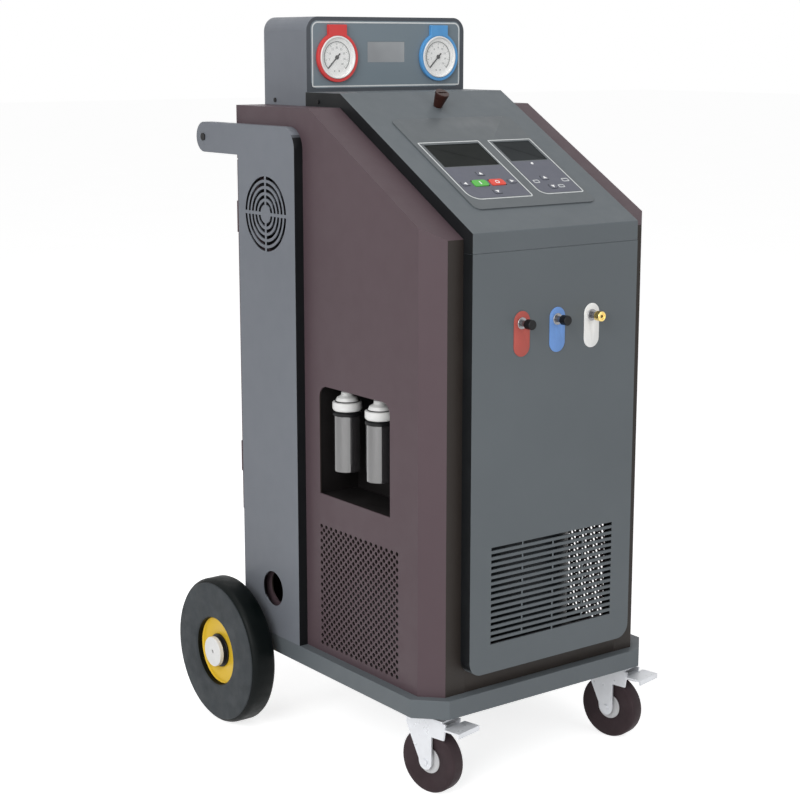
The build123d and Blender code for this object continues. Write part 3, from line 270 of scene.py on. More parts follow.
def copies(obj, moves):
    """The piece and a copy, with its own mesh, for each matrix; all joined into one."""
    made = []
    for move in moves:
        twin = obj.copy()
        twin.data = obj.data.copy()
        bpy.context.collection.objects.link(twin)
        twin.matrix_world = move @ obj.matrix_world
        settle(twin)
        made.append(twin)
    bpy.data.objects.remove(obj, do_unlink=True)
    return join(*made)


def repeated(obj, spots):
    """Many small copies of a piece in one mesh, one at each place."""
    take(obj)
    mode("EDIT")
    bpy.ops.mesh.select_all(action="SELECT")
    bpy.ops.transform.translate(value=spots[0])
    for before, after in zip(spots, spots[1:]):
        bpy.ops.mesh.duplicate_move(TRANSFORM_OT_translate={"value": Vector(after) - Vector(before)})
    mode("OBJECT")
    return obj


def join(*objs):
    """Several pieces as one."""
    take(*objs)
    if len(objs) > 1:
        bpy.ops.object.join()
    return objs[0]


def node_copy(node):
    """A copy of a carried-over node's mesh, merged, to be worked on."""
    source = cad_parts[node]
    obj = bpy.data.objects.new(node + "_copy", source.data.copy())
    bpy.context.collection.objects.link(obj)
    shape(obj, "VERT", lambda co, n: True, lambda: bpy.ops.mesh.remove_doubles(threshold=1e-6))
    return obj


def deliver(obj, name, coat, body="station", replaces=(), angle=30, matrix=None):
    """Name, place, paint and hand over a finished piece, smooth apart from edges sharper than the angle."""
    settle(obj, matrix)
    obj.name = obj.data.name = name
    obj.data.materials.clear()
    obj.data.materials.append(coat)
    for face in obj.data.polygons:
        face.material_index = 0
    if angle:
        take(obj)
        bpy.ops.object.shade_smooth_by_angle(angle=math.radians(angle))
    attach(obj, body)
    if replaces:
        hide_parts(*replaces)
    return obj


def coat_nodes(coat, *names, edge=0.0):
    """Paint carried-over nodes, and round their edges where asked."""
    for name in names:
        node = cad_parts[name]
        node.data.materials.clear()
        node.data.materials.append(coat)
        if edge:
            soften(node, edge, keep=True)


def srgb(red, green, blue):
    """A colour read as 0 to 255 screen values, as the linear colour the shader takes."""
    lin = [(c / 255 / 12.92) if c <= 10 else ((c / 255 + 0.055) / 1.055) ** 2.4 for c in (red, green, blue)]
    return (*lin, 1.0)


class Coat:
    """A node material under construction."""

    def __init__(self, name):
        self.material = bpy.data.materials.new(name)
        self.material.use_nodes = True
        self.tree = self.material.node_tree
        self.shader = self.tree.nodes["Principled BSDF"]
        self.place = self.tree.nodes.new("ShaderNodeTexCoord").outputs["Object"]

    def add(self, kind, **settings):
        node = self.tree.nodes.new(kind)
        for key, value in settings.items():
            setattr(node, key, value)
        return node

    def link(self, start, end):
        self.tree.links.new(start, end)

    def mapped(self, scale):
        """Object coordinates, stretched axis by axis."""
        node = self.add("ShaderNodeMapping")
        node.inputs["Scale"].default_value = scale
        self.link(self.place, node.inputs["Vector"])
        return node.outputs["Vector"]

    def noise(self, scale, detail=2.0, vector=None):
        node = self.add("ShaderNodeTexNoise")
        node.inputs["Scale"].default_value = scale
        node.inputs["Detail"].default_value = detail
        self.link(vector or self.place, node.inputs["Vector"])
        return node.outputs["Fac"]

    def span(self, value, low, high, start=0.3, end=0.7):
        node = self.add("ShaderNodeMapRange")
        for key, level in (("From Min", start), ("From Max", end), ("To Min", low), ("To Max", high)):
            node.inputs[key].default_value = level
        self.link(value, node.inputs["Value"])
        return node.outputs["Result"]

    def facing(self, axis, way=0):
        """1 where the surface faces along an axis, 0 elsewhere; way picks one direction, 0 takes both."""
        parts = self.add("ShaderNodeSeparateXYZ")
        self.link(self.add("ShaderNodeNewGeometry").outputs["True Normal"], parts.inputs[0])
        turn = self.add("ShaderNodeMath", operation="MULTIPLY" if way else "ABSOLUTE")
        self.link(parts.outputs[axis], turn.inputs[0])
        turn.inputs[1].default_value = way
        return self.span(turn.outputs[0], 0, 1, 0.72, 0.86)

    def blend(self, value, first, second):
        node = self.add("ShaderNodeMix", data_type="RGBA")
        self.link(value, node.inputs[0])
        for socket, colour in ((node.inputs[6], first), (node.inputs[7], second)):
            if isinstance(colour, bpy.types.NodeSocket):
                self.link(colour, socket)
            else:
                socket.default_value = colour
        return node.outputs[2]

    def tint(self, colour, spread, scale, detail=3.0, vector=None):
        """Base colour that drifts a little lighter and darker across the piece."""
        darker = (*[c * (1 - spread) for c in colour[:3]], 1)
        lighter = (*[min(1, c * (1 + spread)) for c in colour[:3]], 1)
        out = self.blend(self.span(self.noise(scale, detail, vector=vector), 0, 1), darker, lighter)
        self.link(out, self.shader.inputs["Base Color"])
        return out

    def gloss(self, low, high, scale):
        """Roughness that drifts between two values."""
        self.link(self.span(self.noise(scale, 3), low, high), self.shader.inputs["Roughness"])

    def grain(self, scale, depth, detail=2.0, vector=None, strength=1.0):
        """Fine relief, its depth in millimetres."""
        bump = self.add("ShaderNodeBump")
        bump.inputs["Strength"].default_value = strength
        bump.inputs["Distance"].default_value = depth / 1000
        self.link(self.noise(scale, detail, vector=vector), bump.inputs["Height"])
        self.link(bump.outputs["Normal"], self.shader.inputs["Normal"])

    def set(self, **sockets):
        for key, value in sockets.items():
            self.shader.inputs[key.replace("_", " ")].default_value = value


def powder_coat(name, colour, rough=0.45, spread=0.05, depth=0.05, turned=None):
    """Baked powder paint with fine orange peel; turned paints shade as a darker colour on the faces along an
    axis.
    """
    coat = Coat(name)
    base = coat.tint(colour, spread, 3.5)
    if turned:
        axis, way, other = turned
        coat.link(coat.blend(coat.facing(axis, way), base, other), coat.shader.inputs["Base Color"])
    coat.gloss(rough - 0.05, rough + 0.07, 40)
    coat.grain(900, depth, 3)
    coat.set(Specular_IOR_Level=0.22)
    return coat.material


def moulded_plastic(name, colour, rough=0.4, spread=0.05, scale=60, depth=0.02, shine=0.3):
    """Moulded plastic with a fine spark grain."""
    coat = Coat(name)
    coat.tint(colour, spread, scale)
    coat.gloss(rough - 0.05, rough + 0.06, 120)
    coat.grain(1600, depth, 2)
    coat.set(Specular_IOR_Level=shine)
    return coat.material


def wheel_rubber(name, colour, rough=0.75, shine=0.15):
    """Rubber with dull mottling and a fine skin."""
    coat = Coat(name)
    coat.tint(colour, 0.16, 28, 5)
    coat.gloss(rough - 0.12, rough + 0.08, 60)
    coat.grain(700, 0.1, 4)
    coat.set(Specular_IOR_Level=shine)
    return coat.material


def zinc_plate(name, colour, rough=0.32, metal=0.3):
    """Bright zinc plating: a pale even spangle and fine rolling marks."""
    coat = Coat(name)
    cells = coat.add("ShaderNodeTexVoronoi")
    cells.inputs["Scale"].default_value = 90
    coat.link(coat.place, cells.inputs["Vector"])
    spangle = coat.span(cells.outputs["Distance"], 0, 1, 0.0, 0.9)
    darker = (*[c * 0.95 for c in colour[:3]], 1)
    coat.link(coat.blend(spangle, darker, colour), coat.shader.inputs["Base Color"])
    coat.gloss(rough - 0.06, rough + 0.1, 90)
    coat.grain(1, 0.006, 2, coat.mapped((90, 900, 90)))
    coat.set(Metallic=metal)
    return coat.material


def turned_metal(name, colour, rough=0.25, spread=0.08):
    """Machined metal with fine streaks."""
    coat = Coat(name)
    coat.tint(colour, spread, 1, 3, coat.mapped((400, 60, 400)))
    coat.gloss(rough - 0.07, rough + 0.1, 250)
    coat.grain(1, 0.02, 2, coat.mapped((1800, 200, 1800)))
    coat.set(Metallic=1.0)
    return coat.material


def clear_shell(name, colour, rough, haze, shell, index, cover=1.0):
    """Clear acrylic or glass, faintly uneven; cover under 1 lets light straight through a thin lens."""
    coat = Coat(name)
    coat.tint(colour, 0.02, 30)
    coat.gloss(max(0.02, rough - 0.03), rough + 0.04, 45)
    coat.grain(35, 0.05, 2, strength=0.3)
    coat.set(Transmission_Weight=1.0 - haze, IOR=1.46, Alpha=cover)
    coat.set(Coat_Weight=shell, Coat_IOR=index, Coat_Roughness=0.04)
    return coat.material


def dark_glass(name, colour, rough=0.42):
    """Tinted display window: a dull dark face with a faint drift."""
    coat = Coat(name)
    coat.tint(colour, 0.14, 14, 2)
    coat.gloss(rough - 0.05, rough + 0.08, 18)
    coat.grain(1400, 0.01, 2)
    coat.set(Specular_IOR_Level=0.06)
    return coat.material


class StationColours(bpy.types.PropertyGroup):
    """Paints and plastics, with painted light and shade, as screen colours from 0 to 255."""


def colour_property(key, value, text):
    title = key.replace("_", " ").capitalize()
    return bpy.props.IntVectorProperty(name=title, default=value, size=3, min=0, max=255, description=text)


COLOURS = {
    "grey_paint": ((94, 100, 104), "Powder coat of the front panel, console, columns and tray"),
    # Painted light: a lighter copy of the grey paint for the columns and pod, standing in for the key light
    # from the left
    "column_grey_painted_light": ((111, 115, 122), "Powder coat of the side columns and the gauge pod"),
    # Painted shade: near black for faces of the grey coat that look dark only because of how light falls
    "return_painted_shade": ((18, 20, 22), "Side faces of the slab and front faces of the columns"),
    # Painted shade: a darker grey for the front faces of the pod
    "pod_rim_painted_shade": ((72, 76, 82), "Front faces of the gauge pod round its plate"),
    "brown_paint": ((80, 66, 71), "Powder coat of the housing"),
    # Painted shade: a darker copy of the brown paint for its front faces
    "brown_front_painted_shade": ((46, 41, 38), "Front faces of the housing beside the slab"),
    "plate_grey": ((92, 97, 100), "Raised plate on the slope"),
    "key_field": ((96, 98, 108), "Printed field round the keys"),
    "face_grey": ((114, 126, 134), "Face plate of the gauge pod"),
    "print_line": ((206, 209, 209), "Thin printed lines and marks"),
    "left_window": ((15, 19, 18), "Large display window"),
    "right_window": ((33, 37, 39), "Small display window"),
    "pod_window": ((152, 155, 158), "Display in the gauge pod"),
    "start_green": ((88, 176, 74), "Green key"),
    "stop_red": ((214, 74, 60), "Red key"),
    "mark_white": ((236, 236, 236), "White marks on the keys"),
    "knob_brown": ((50, 24, 18), "Quarter turn knob"),
    "gauge_red": ((206, 62, 62), "High side collar and tab"),
    "gauge_blue": ((84, 150, 206), "Low side collar and tab"),
    "label_red": ((174, 82, 74), "Label of the high side port"),
    "label_blue": ((108, 148, 208), "Label of the low side port"),
    "hub_yellow": ((232, 192, 52), "Rear wheel hubs"),
    "tyre_black": ((5, 10, 10), "Tread and shoulders of the rear tyres"),
    "sidewall_grey": ((59, 63, 66), "Side discs of the rear tyres"),
    "castor_brown": ((56, 45, 48), "Castor tyres"),
    "zinc_white": ((226, 228, 232), "Bright zinc of the castors"),
    "scale_grey": ((96, 102, 100), "Printed scale of the gauge dials"),
}
StationColours.__annotations__ = {key: colour_property(key, *value) for key, value in COLOURS.items()}


def length(title, value, text):
    return bpy.props.FloatProperty(name=title, default=value, unit="LENGTH", description=text)


def power(title, value, text):
    return bpy.props.FloatProperty(name=title, default=value, unit="POWER", description=text)


def level(title, value, text):
    return bpy.props.FloatProperty(name=title, default=value, min=0, description=text)


class StationSizes(bpy.types.PropertyGroup):
    """Sizes of the looks that a user may change."""
    vent_hole: length("Vent hole", 0.0068, "Diameter of the round vent holes")
    vent_pitch_up: length("Vent pitch up", 0.0118, "Pitch of the vent rows")
    vent_pitch_along: length("Vent pitch along", 0.013, "Pitch of the vent holes in a row")
    print_width: length("Printed line", 0.0019, "Width of the printed lines")
    number_height: length("Dial numbers", 0.0048, "Size of the numbers on the gauge dials")


class StationStage(bpy.types.PropertyGroup):
    """Light and floor of the studio."""
    key_power: power("Key light", 80.0, "Soft light from the left front")
    front_power: power("Front light", 22.0, "Soft light from the front")
    top_power: power("Top light", 30.0, "Soft light from above")
    sky: level("Sky", 0.3, "Strength of the surrounding light")
    floor_glow: level("Floor glow", 0.74, "Lightness of the floor as the camera sees it")


def paint(key):
    """The chosen screen colour of a finish, as a linear colour."""
    return srgb(*getattr(bpy.context.scene.station_colours, key))


def coat_of(key, maker, *args):
    """The finish of that name, made the first time it is asked for."""
    if key not in FINISHES:
        FINISHES[key] = maker(key, *args)
    return FINISHES[key]


def plastic(name, *look):
    return coat_of(name, moulded_plastic, *look)


def metal(name, *look):
    return coat_of(name, turned_metal, *look)


def powder(name, *look):
    return coat_of(name, powder_coat, *look)


def grey_coat():
    return powder("grey_powder_coat", paint("grey_paint"))


def brown_coat():
    # Painted shade: faces of the brown coat that look forward take a darker brown
    front = paint("brown_front_painted_shade")
    return powder("brown_powder_coat", paint("brown_paint"), 0.45, 0.04, 0.05, ("Y", -1, front))


def zinc_coat():
    return coat_of("zinc_plating", zinc_plate, paint("zinc_white"))


def black_plastic():
    return plastic("black_moulding", (0.008, 0.008, 0.009, 1), 0.38, 0.15, 60, 0.02, 0.2)


def white_plastic():
    return plastic("white_moulding", (0.78, 0.78, 0.77, 1), 0.32, 0.03)


def print_coat():
    return plastic("pale_print", paint("print_line"), 0.5, 0.05, 120, 0.01)


class STATION_OT_sheet_metal(bpy.types.Operator):
    """Powder coat the tray, the columns, the slab, the console, the pod and the rear sheets, with painted
    shade on some side and front faces and painted light on the columns and pod
    """
    bl_idname = "station.sheet_metal"
    bl_label = "Sheet metal"

    def execute(self, context):
        # Painted shade: the slab coat is near black on faces along X, and the column coat on faces looking
        # forward
        dark = paint("return_painted_shade")
        slab = powder("slab_powder_coat", paint("grey_paint"), 0.45, 0.05, 0.05, ("X", 0, dark))
        # Painted light: the columns and pod take a lighter grey than the front panel
        column = powder("column_powder_coat", paint("column_grey_painted_light"), 0.45, 0.05, 0.05, ("Y", -1, dark))
        # Painted shade: the pod coat is darker on faces looking forward
        rim = paint("pod_rim_painted_shade")
        pod = powder("pod_powder_coat", paint("column_grey_painted_light"), 0.45, 0.05, 0.05, ("Y", -1, rim))
        coat_nodes(grey_coat(), "base_tray", edge=0.7)
        coat_nodes(column, "left_side_column", "right_side_column", edge=0.7)
        coat_nodes(slab, "front_panel", edge=0.8)
        coat_nodes(slab, "console_housing", edge=1.2)
        coat_nodes(pod, "gauge_pod", edge=1.2)
        coat_nodes(brown_coat(), "rear_panel", "rear_door", edge=0.7)
        inner = powder("frame_black", (0.006, 0.005, 0.005, 1), 0.6)
        coat_nodes(inner, "inner_frame", "bottle_recess")
        coat_nodes(grey_coat(), "handle_bar")
        sill = block(point(-150, 0, 160.2), point(150, 2.5, 225))
        soften(sill, 0.4)
        deliver(sill, "front_sill", brown_coat())
        return {"FINISHED"}


class STATION_OT_side_panels(bpy.types.Operator):
    """Side panels with the staggered round holes of their vents"""
    bl_idname = "station.side_panels"
    bl_label = "Side panels"

    def execute(self, context):
        sizes = context.scene.station_sizes
        low, high, border = VENT_LOW, VENT_HIGH, VENT_BORDER
        up, along = sizes.vent_pitch_up * 1000, sizes.vent_pitch_along * 1000
        for side, node in ((-1, "left_side_panel"), (1, "right_side_panel")):
            panel = node_copy(node)
            near, far = sorted((side * SHEET_INNER, side * SHEET_OUTER))
            filler = block(point(near, low[0] - border, low[1] - border),
                           point(far, high[0] + border, high[1] + border))
            cut(panel, filler, way="UNION")
            start, end = side * PUNCH_START, side * PUNCH_END
            punch = rod(sizes.vent_hole / 2, mm(start, 0, 0), mm(end, 0, 0), 10)
            rows, columns = int((high[1] - low[1]) / up), int((high[0] - low[0]) / along)
            spots = [point(0, low[0] + (column + 0.5 * (row % 2)) * along, low[1] + row * up / 2)
                     for row in range(2 * rows + 1) for column in range(columns + 1 - row % 2)]
            hole = rod(LOWER_HOLE_RADIUS / 1000, mm(start, 0, LOWER_HOLE_HEIGHT),
                       mm(end, 0, LOWER_HOLE_HEIGHT), 48)
            settle(hole, Matrix.Translation((0, at(LOWER_HOLE_DEPTH), 0)))
            cut(panel, repeated(punch, spots), hole)
            deliver(panel, node + "_sheet", brown_coat(), replaces=(node,), angle=0)
        return {"FINISHED"}


class STATION_OT_rear_wheels(bpy.types.Operator):
    """Rear tyres with their side discs, sunk yellow hubs, black necks and white caps"""
    bl_idname = "station.rear_wheels"
    bl_label = "Rear wheels"

    def execute(self, context):
        tread = coat_of("tyre_tread", wheel_rubber, paint("tyre_black"), 0.5, 0.12)
        sidewall = coat_of("tyre_sidewall", wheel_rubber, paint("sidewall_grey"), 0.62)
        yellow = powder("hub_enamel", paint("hub_yellow"), 0.35, 0.04, 0.03)
        tread_line = [(56, 0), (104, 0), (112.5, 2.4), (117.4, 6.2), (119.5, 10.5), (119.5, 35.0),
                      (119.1, 38.2), (118.0, 41.2), (116.2, 43.6), (113.9, 44.9), (56, 44.9)]
        side_line = [(56.4, 44.6), (113.2, 44.6), (113.2, 46.0), (112.4, 46.9), (110.5, 47.2),
                     (60.5, 47.2), (58.2, 46.8), (56.9, 45.8)]
        hub_line = [(8.05, 0), (20, 0), (21, 1), (21, 13), (23, 14.5), (48, 14.5), (50, 13.5), (50, 1),
                    (51, 0), (54.5, 0), (55.9, 1.5), (55.9, 36.0), (55.2, 37.6), (54.2, 37.9),
                    (53.2, 37.2), (52.6, 36.4), (29, 36.4), (27.6, 35.6), (8.05, 35.6)]
        neck_line = [(8.05, 36.0), (27.0, 36.0), (27.4, 36.4), (27.4, 38.6), (26.8, 39.2), (22.5, 39.2),
                     (21.5, 40.0), (21.5, 44.0), (8.05, 44.0)]
        cap_line = [(8.05, 43.6), (23.6, 43.6), (24.5, 44.5), (24.5, 50.2), (24.0, 51.0), (22.9, 51.4),
                    (6.0, 51.4), (3.4, 51.1), (3.0, 50.6), (3.0, 47.4), (8.05, 47.4)]
        caps, necks = [], []
        for side, word in ((-1, "left"), (1, "right")):
            seat = Matrix.Translation(point(side * WHEEL_X, WHEEL_DEPTH, WHEEL_HEIGHT))
            seat = seat @ Matrix.Rotation(side * math.pi / 2, 4, "Y")
            body = word + "_rear_wheel"
            deliver(lathe(tread_line, 96, closed=True), word + "_rear_tyre_tread", tread,
                    body=body, replaces=(word + "_rear_tyre",), matrix=seat)
            deliver(lathe(side_line, 96, closed=True), word + "_rear_tyre_side", sidewall,
                    body=body, matrix=seat)
            deliver(lathe(hub_line, 72, closed=True), word + "_rear_rim", yellow, body=body,
                    replaces=(word + "_rear_hub",), matrix=seat)
            caps.append(settle(lathe(cap_line, 64, closed=True), seat))
            necks.append(settle(lathe(neck_line, 64, closed=True), seat))
            necks.append(settle(disc(4.5, (0, 0, 47.0), 1.5, 24), seat))
        deliver(join(*caps), "axle_cap_pair", white_plastic(), replaces=("axle_caps",))
        deliver(join(*necks), "axle_neck_pair", black_plastic())
        coat_nodes(metal("axle_steel_turned", (0.42, 0.43, 0.45, 1), 0.3), "rear_axle")
        return {"FINISHED"}


class STATION_OT_castors(bpy.types.Operator):
    """Castor wheels, fork finish and brake pedals"""
    bl_idname = "station.castors"
    bl_label = "Castors"

    def execute(self, context):
        rubber = coat_of("castor_tread", wheel_rubber, paint("castor_brown"), 0.62)
        core_coat = plastic("castor_core", (0.62, 0.62, 0.63, 1), 0.4)
        half_tread = [(20.2, 8.2), (22.5, 9.6), (27, 10.6), (38, 12.2), (45, 13), (47.8, 12.3),
                      (49.5, 10.3), (50, 8)]
        half_core = [(5.05, 12.6), (9.2, 12.6), (10, 11.8), (10.4, 9.6), (16.5, 9.0), (19.2, 9.8),
                     (20.1, 9.2)]
        for side, word in ((-1, "left"), (1, "right")):
            turn = Matrix.Rotation(math.radians(CASTOR_TURN), 4, "Z")
            axle = point(side * CASTOR_X, CASTOR_DEPTH, CASTOR_HEIGHT) + turn @ mm(0, -CASTOR_TRAIL, 0)
            seat = Matrix.Translation(axle) @ turn @ Matrix.Rotation(math.pi / 2, 4, "Y")
            body = word + "_castor_roller"
            deliver(lathe(mirrored(half_tread), 72, closed=True), word + "_castor_tread", rubber,
                    body=body, replaces=(word + "_castor_wheel",), angle=35, matrix=seat)
            deliver(lathe(mirrored(half_core), 56, closed=True), word + "_castor_rim", core_coat,
                    body=body, angle=35, matrix=seat)
        coat_nodes(zinc_coat(), "castor_plates", "left_castor_fork", "right_castor_fork", edge=0.5)
        coat_nodes(zinc_coat(), "left_brake_pedal", "right_brake_pedal", edge=0.6)
        return {"FINISHED"}


def mirrored(half):
    """A closed wheel profile from its half on one side of the middle plane."""
    return [(radius, -height) for radius, height in half] + half[::-1]


class STATION_OT_console_face(bpy.types.Operator):
    """Console plate with its printed frames, key fields and display windows"""
    bl_idname = "station.console_face"
    bl_label = "Console face"

    def execute(self, context):
        width = context.scene.station_sizes.print_width * 1000
        plate_coat = powder("console_plate_coat", paint("plate_grey"), 0.42, 0.04, 0.03)
        coat_nodes(plate_coat, "console_plate", edge=0.5)
        top = on_slope() @ moved(0, 0, PLATE_TOP)
        frames = [line_frame((-107.5, 75.5), (8.5, 225.5), (20, 5, 2, 2), width, 0.15),
                  line_frame((25.5, 78), (110.5, 225), (16, 5, 2, 2), width, 0.15)]
        deliver(join(*frames), "console_printed_frames", print_coat(), matrix=top)
        holes = [(x, s, 28.5, 16.5) for x, s in ((-65.2, 115), (-33.2, 115))]
        holes += [(x, s, 14.5, 10.5) for x, s in ((-49.2, 138.5), (-49.2, 91.5), (-93, 115), (-5.4, 115))]
        holes += [(61, s, 13.5, 11.5) for s in (119, 96)]
        field = join(plate((-104, 79), (5, 158.5), (17, 3, 1, 1), 0.12),
                     plate((29, 81.5), (107, 165), (13, 3, 1, 1), 0.12))
        tools = [block(mm(x - w / 2, s - h / 2, -3), mm(x + w / 2, s + h / 2, 3)) for x, s, w, h in holes]
        cut(field, join(*tools))
        field_coat = plastic("key_field_print", paint("key_field"), 0.5, 0.03, 60, 0.01, 0.2)
        deliver(field, "key_field_sheets", field_coat, matrix=top)
        for name, low, high, key in (("left_display_window", (-99.9, 160.1), (3.9, 218.9), "left_window"),
                                     ("right_display_window", (32.1, 167.0), (104.3, 219.4), "right_window")):
            window = plate(low, high, (1, 1, 1, 1), 1.6, 3)
            shape(window, "FACE", lambda c, n: n.z > 0.9,
                  lambda: bpy.ops.mesh.inset(thickness=0.0022),
                  lambda: bpy.ops.transform.translate(value=mm(0, 0, -0.25)))
            coat = coat_of(key + "_glass", dark_glass, paint(key))
            deliver(window, name, coat, angle=0, matrix=on_slope())
        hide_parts("console_displays")
        lamp = lathe([(0.2, 0), (2.4, 0), (2.4, 0.5), (1.9, 1.1), (0.9, 1.4), (0.2, 1.4)], 24)
        place = top @ moved(66, 158, 0)
        lamp_coat = plastic("lamp_lens", paint("mark_white"), 0.2, 0.02, 60, 0.01, 0.4)
        deliver(lamp, "signal_lamp", lamp_coat, matrix=place)
        return {"FINISHED"}


def arrow(x, s, size, angle, thick=0.25):
    """A small flat arrow head, in millimetres, that points along an angle in degrees."""
    obj = rod(size / 1000, mm(0, 0, 0), mm(0, 0, thick), 3)
    far = max((vertex.co for vertex in obj.data.vertices), key=lambda co: co.xy.length)
    turn = math.radians(angle) - math.atan2(far.y, far.x)
    return settle(obj, moved(x, s, 0) @ Matrix.Rotation(turn, 4, "Z"))


class STATION_OT_console_keys(bpy.types.Operator):
    """Keys of both keypads with their plain marks"""
    bl_idname = "station.console_keys"
    bl_label = "Console keys"

    def execute(self, context):
        green = plastic("start_key_skin", paint("start_green"), 0.42)
        red = plastic("stop_key_skin", paint("stop_red"), 0.42)
        white = plastic("mark_skin", paint("mark_white"), 0.45, 0.03, 60, 0.01)
        soft = plastic("key_skin", paint("key_field"), 0.45, 0.03)
        coat_nodes(green, "start_key", edge=0.5)
        coat_nodes(red, "stop_key", edge=0.5)
        coat_nodes(soft, "up_key", "down_key", "left_key", "right_key", "raise_key", "lower_key", edge=0.4)
        tops = on_slope()
        for node, x, s, angle in (("up_key", -49.2, 137.4, 90), ("down_key", -49.2, 92.2, 270),
                                  ("left_key", -92.4, 115, 180), ("right_key", -6.2, 115, 0),
                                  ("raise_key", 61, 118.4, 90), ("lower_key", 61, 96.4, 270)):
            high = key_top(node)
            mark = arrow(x, s, 4.0, angle)
            deliver(mark, node + "_arrow", white, body=node, angle=0,
                    matrix=tops @ moved(0, 0, high))
        bar = plate((-66.2, 111.2), (-64.2, 118.8), (0.6, 0.6, 0.6, 0.6), 0.2, 3)
        deliver(bar, "start_key_bar", white, body="start_key", angle=0,
                matrix=tops @ moved(0, 0, key_top("start_key")))
        ring = lathe([(2.4, 0), (3.8, 0), (3.8, 0.2), (2.4, 0.2)], 32, closed=True)
        deliver(ring, "stop_key_ring", white, body="stop_key",
                matrix=tops @ moved(-33.2, 115, key_top("stop_key")))
        marks = [line_frame((34.5, 107.5), (45.5, 115.5), (2, 2, 2, 2), 1.5, 0.12),
                 line_frame((90.5, 107.5), (103.5, 115.5), (2, 2, 2, 2), 1.5, 0.12),
                 line_frame((72.5, 93), (84, 100), (2, 2, 2, 2), 1.4, 0.12)]
        deliver(join(*marks), "keypad_outlines", print_coat(), angle=0,
                matrix=tops @ moved(0, 0, 2.1))
        return {"FINISHED"}


def key_top(node):
    """Height of a key's face above the slope, in millimetres."""
    out = on_slope().inverted()
    return max((out @ vertex.co).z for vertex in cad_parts[node].data.vertices) * 1000 - 0.02


class STATION_OT_console_knob(bpy.types.Operator):
    """Quarter turn knob"""
    bl_idname = "station.console_knob"
    bl_label = "Console knob"

    def execute(self, context):
        knob = plastic("knob_moulding", paint("knob_brown"), 0.3, 0.1)
        coat_nodes(knob, "console_knob", edge=0.8)
        return {"FINISHED"}


def around(obj, count):
    """A mark that points along X, copied clockwise along the scale of a dial."""
    turns = [math.radians(SCALE_START - SCALE_SWEEP * step / (count - 1)) for step in range(count)]
    return copies(obj, [Matrix.Rotation(turn, 4, "Z") for turn in turns])


def number(text, size, x, y):
    """A printed number in the xy plane, size in metres, place in millimetres."""
    fresh()
    bpy.ops.object.text_add(location=mm(x, y, 0))
    obj = bpy.context.object
    obj.data.body, obj.data.size, obj.data.extrude, obj.data.resolution_u = text, size, 0.00006, 2
    obj.data.align_x, obj.data.align_y = "CENTER", "CENTER"
    take(obj)
    bpy.ops.object.convert(target="MESH")
    return settle(bpy.context.object)


class STATION_OT_gauges(bpy.types.Operator):
    """Gauge dials with bezel, scale and plain numbers, collars, needles and lenses"""
    bl_idname = "station.gauges"
    bl_label = "Gauges"

    def execute(self, context):
        size = context.scene.station_sizes.number_height
        for word, colour in (("high", "red"), ("low", "blue")):
            collar = plastic("collar_" + colour, paint("gauge_" + colour), 0.35)
            coat_nodes(collar, word + "_gauge_collar", edge=0.6)
        enamel = plastic("dial_enamel", (0.84, 0.84, 0.83, 1), 0.5, 0.02)
        scale_print = plastic("dial_scale_print", paint("scale_grey"), 0.55, 0.05, 120, 0.01)
        glass = coat_of("lens_glass", clear_shell, (0.98, 0.99, 0.99, 1), 0.03, 1.0, 0.0, 1.46, 0.06)
        cup_line = [(0.2, -42), (28, -42), (29, -41), (29, 0), (32.7, 0), (32.9, 0.3), (32.9, 6.0),
                    (32.3, 6.8), (30.9, 6.8), (30.2, 6.0), (30.0, DIAL_TOP), (0.2, DIAL_TOP)]
        lens_line = [(0.2, 4.6), (30.0, 4.6), (30.0, 5.6), (0.2, 5.9)]
        cups, lenses = [], []
        for x, word, step in ((-GAUGE_X, "high", 5), (GAUGE_X, "low", 2)):
            seat = on_front(POD_FACE) @ moved(x, GAUGE_HEIGHT, 0)
            cups.append(settle(lathe(cup_line, 72), seat))
            lenses.append(settle(lathe(lens_line, 48), seat))
            major = around(block(mm(18.8, -0.3, 0), mm(22.6, 0.3, 0.12)), 9)
            minor = around(block(mm(21.0, -0.14, 0), mm(22.6, 0.14, 0.12)), 41)
            arc = around(block(mm(23.2, -0.85, 0), mm(24.5, 0.85, 0.1)), 73)
            dots = [disc(1.15, (-4.2, -21), 0.12, 16), disc(1.15, (4.2, -21), 0.12, 16)]
            figures = []
            for place in range(9):
                turn = math.radians(SCALE_START - SCALE_SWEEP * place / 8)
                spot = [FIGURE_RADIUS * math.cos(turn), FIGURE_RADIUS * math.sin(turn)]
                figures.append(number(str(place * step), size, *spot))
            deliver(join(major, minor, arc, *dots, *figures), word + "_dial_scale", scale_print,
                    angle=0, matrix=seat @ moved(0, 0, DIAL_TOP))
        deliver(join(*cups), "gauge_dial_cups", enamel, replaces=("gauge_dials",))
        deliver(join(*lenses), "gauge_lens_pair", glass, replaces=("gauge_lenses",))
        coat_nodes(black_plastic(), "high_gauge_needle", "low_gauge_needle")
        return {"FINISHED"}


class STATION_OT_pod_face(bpy.types.Operator):
    """Face plate of the gauge pod, its printed outline and display"""
    bl_idname = "station.pod_face"
    bl_label = "Pod face"

    def execute(self, context):
        face = powder("pod_face_coat", paint("face_grey"), 0.42, 0.04, 0.03)
        coat_nodes(face, "pod_faceplate", edge=0.4)
        coat_nodes(coat_of("pod_display_glass", dark_glass, paint("pod_window"), 0.4), "pod_display")
        outline = line_frame((-145.4, 1028.6), (145.4, 1128.4), (3, 3, 11, 11), 2.1, 0.15)
        deliver(outline, "pod_printed_outline", print_coat(), matrix=on_front(POD_FACE))
        return {"FINISHED"}


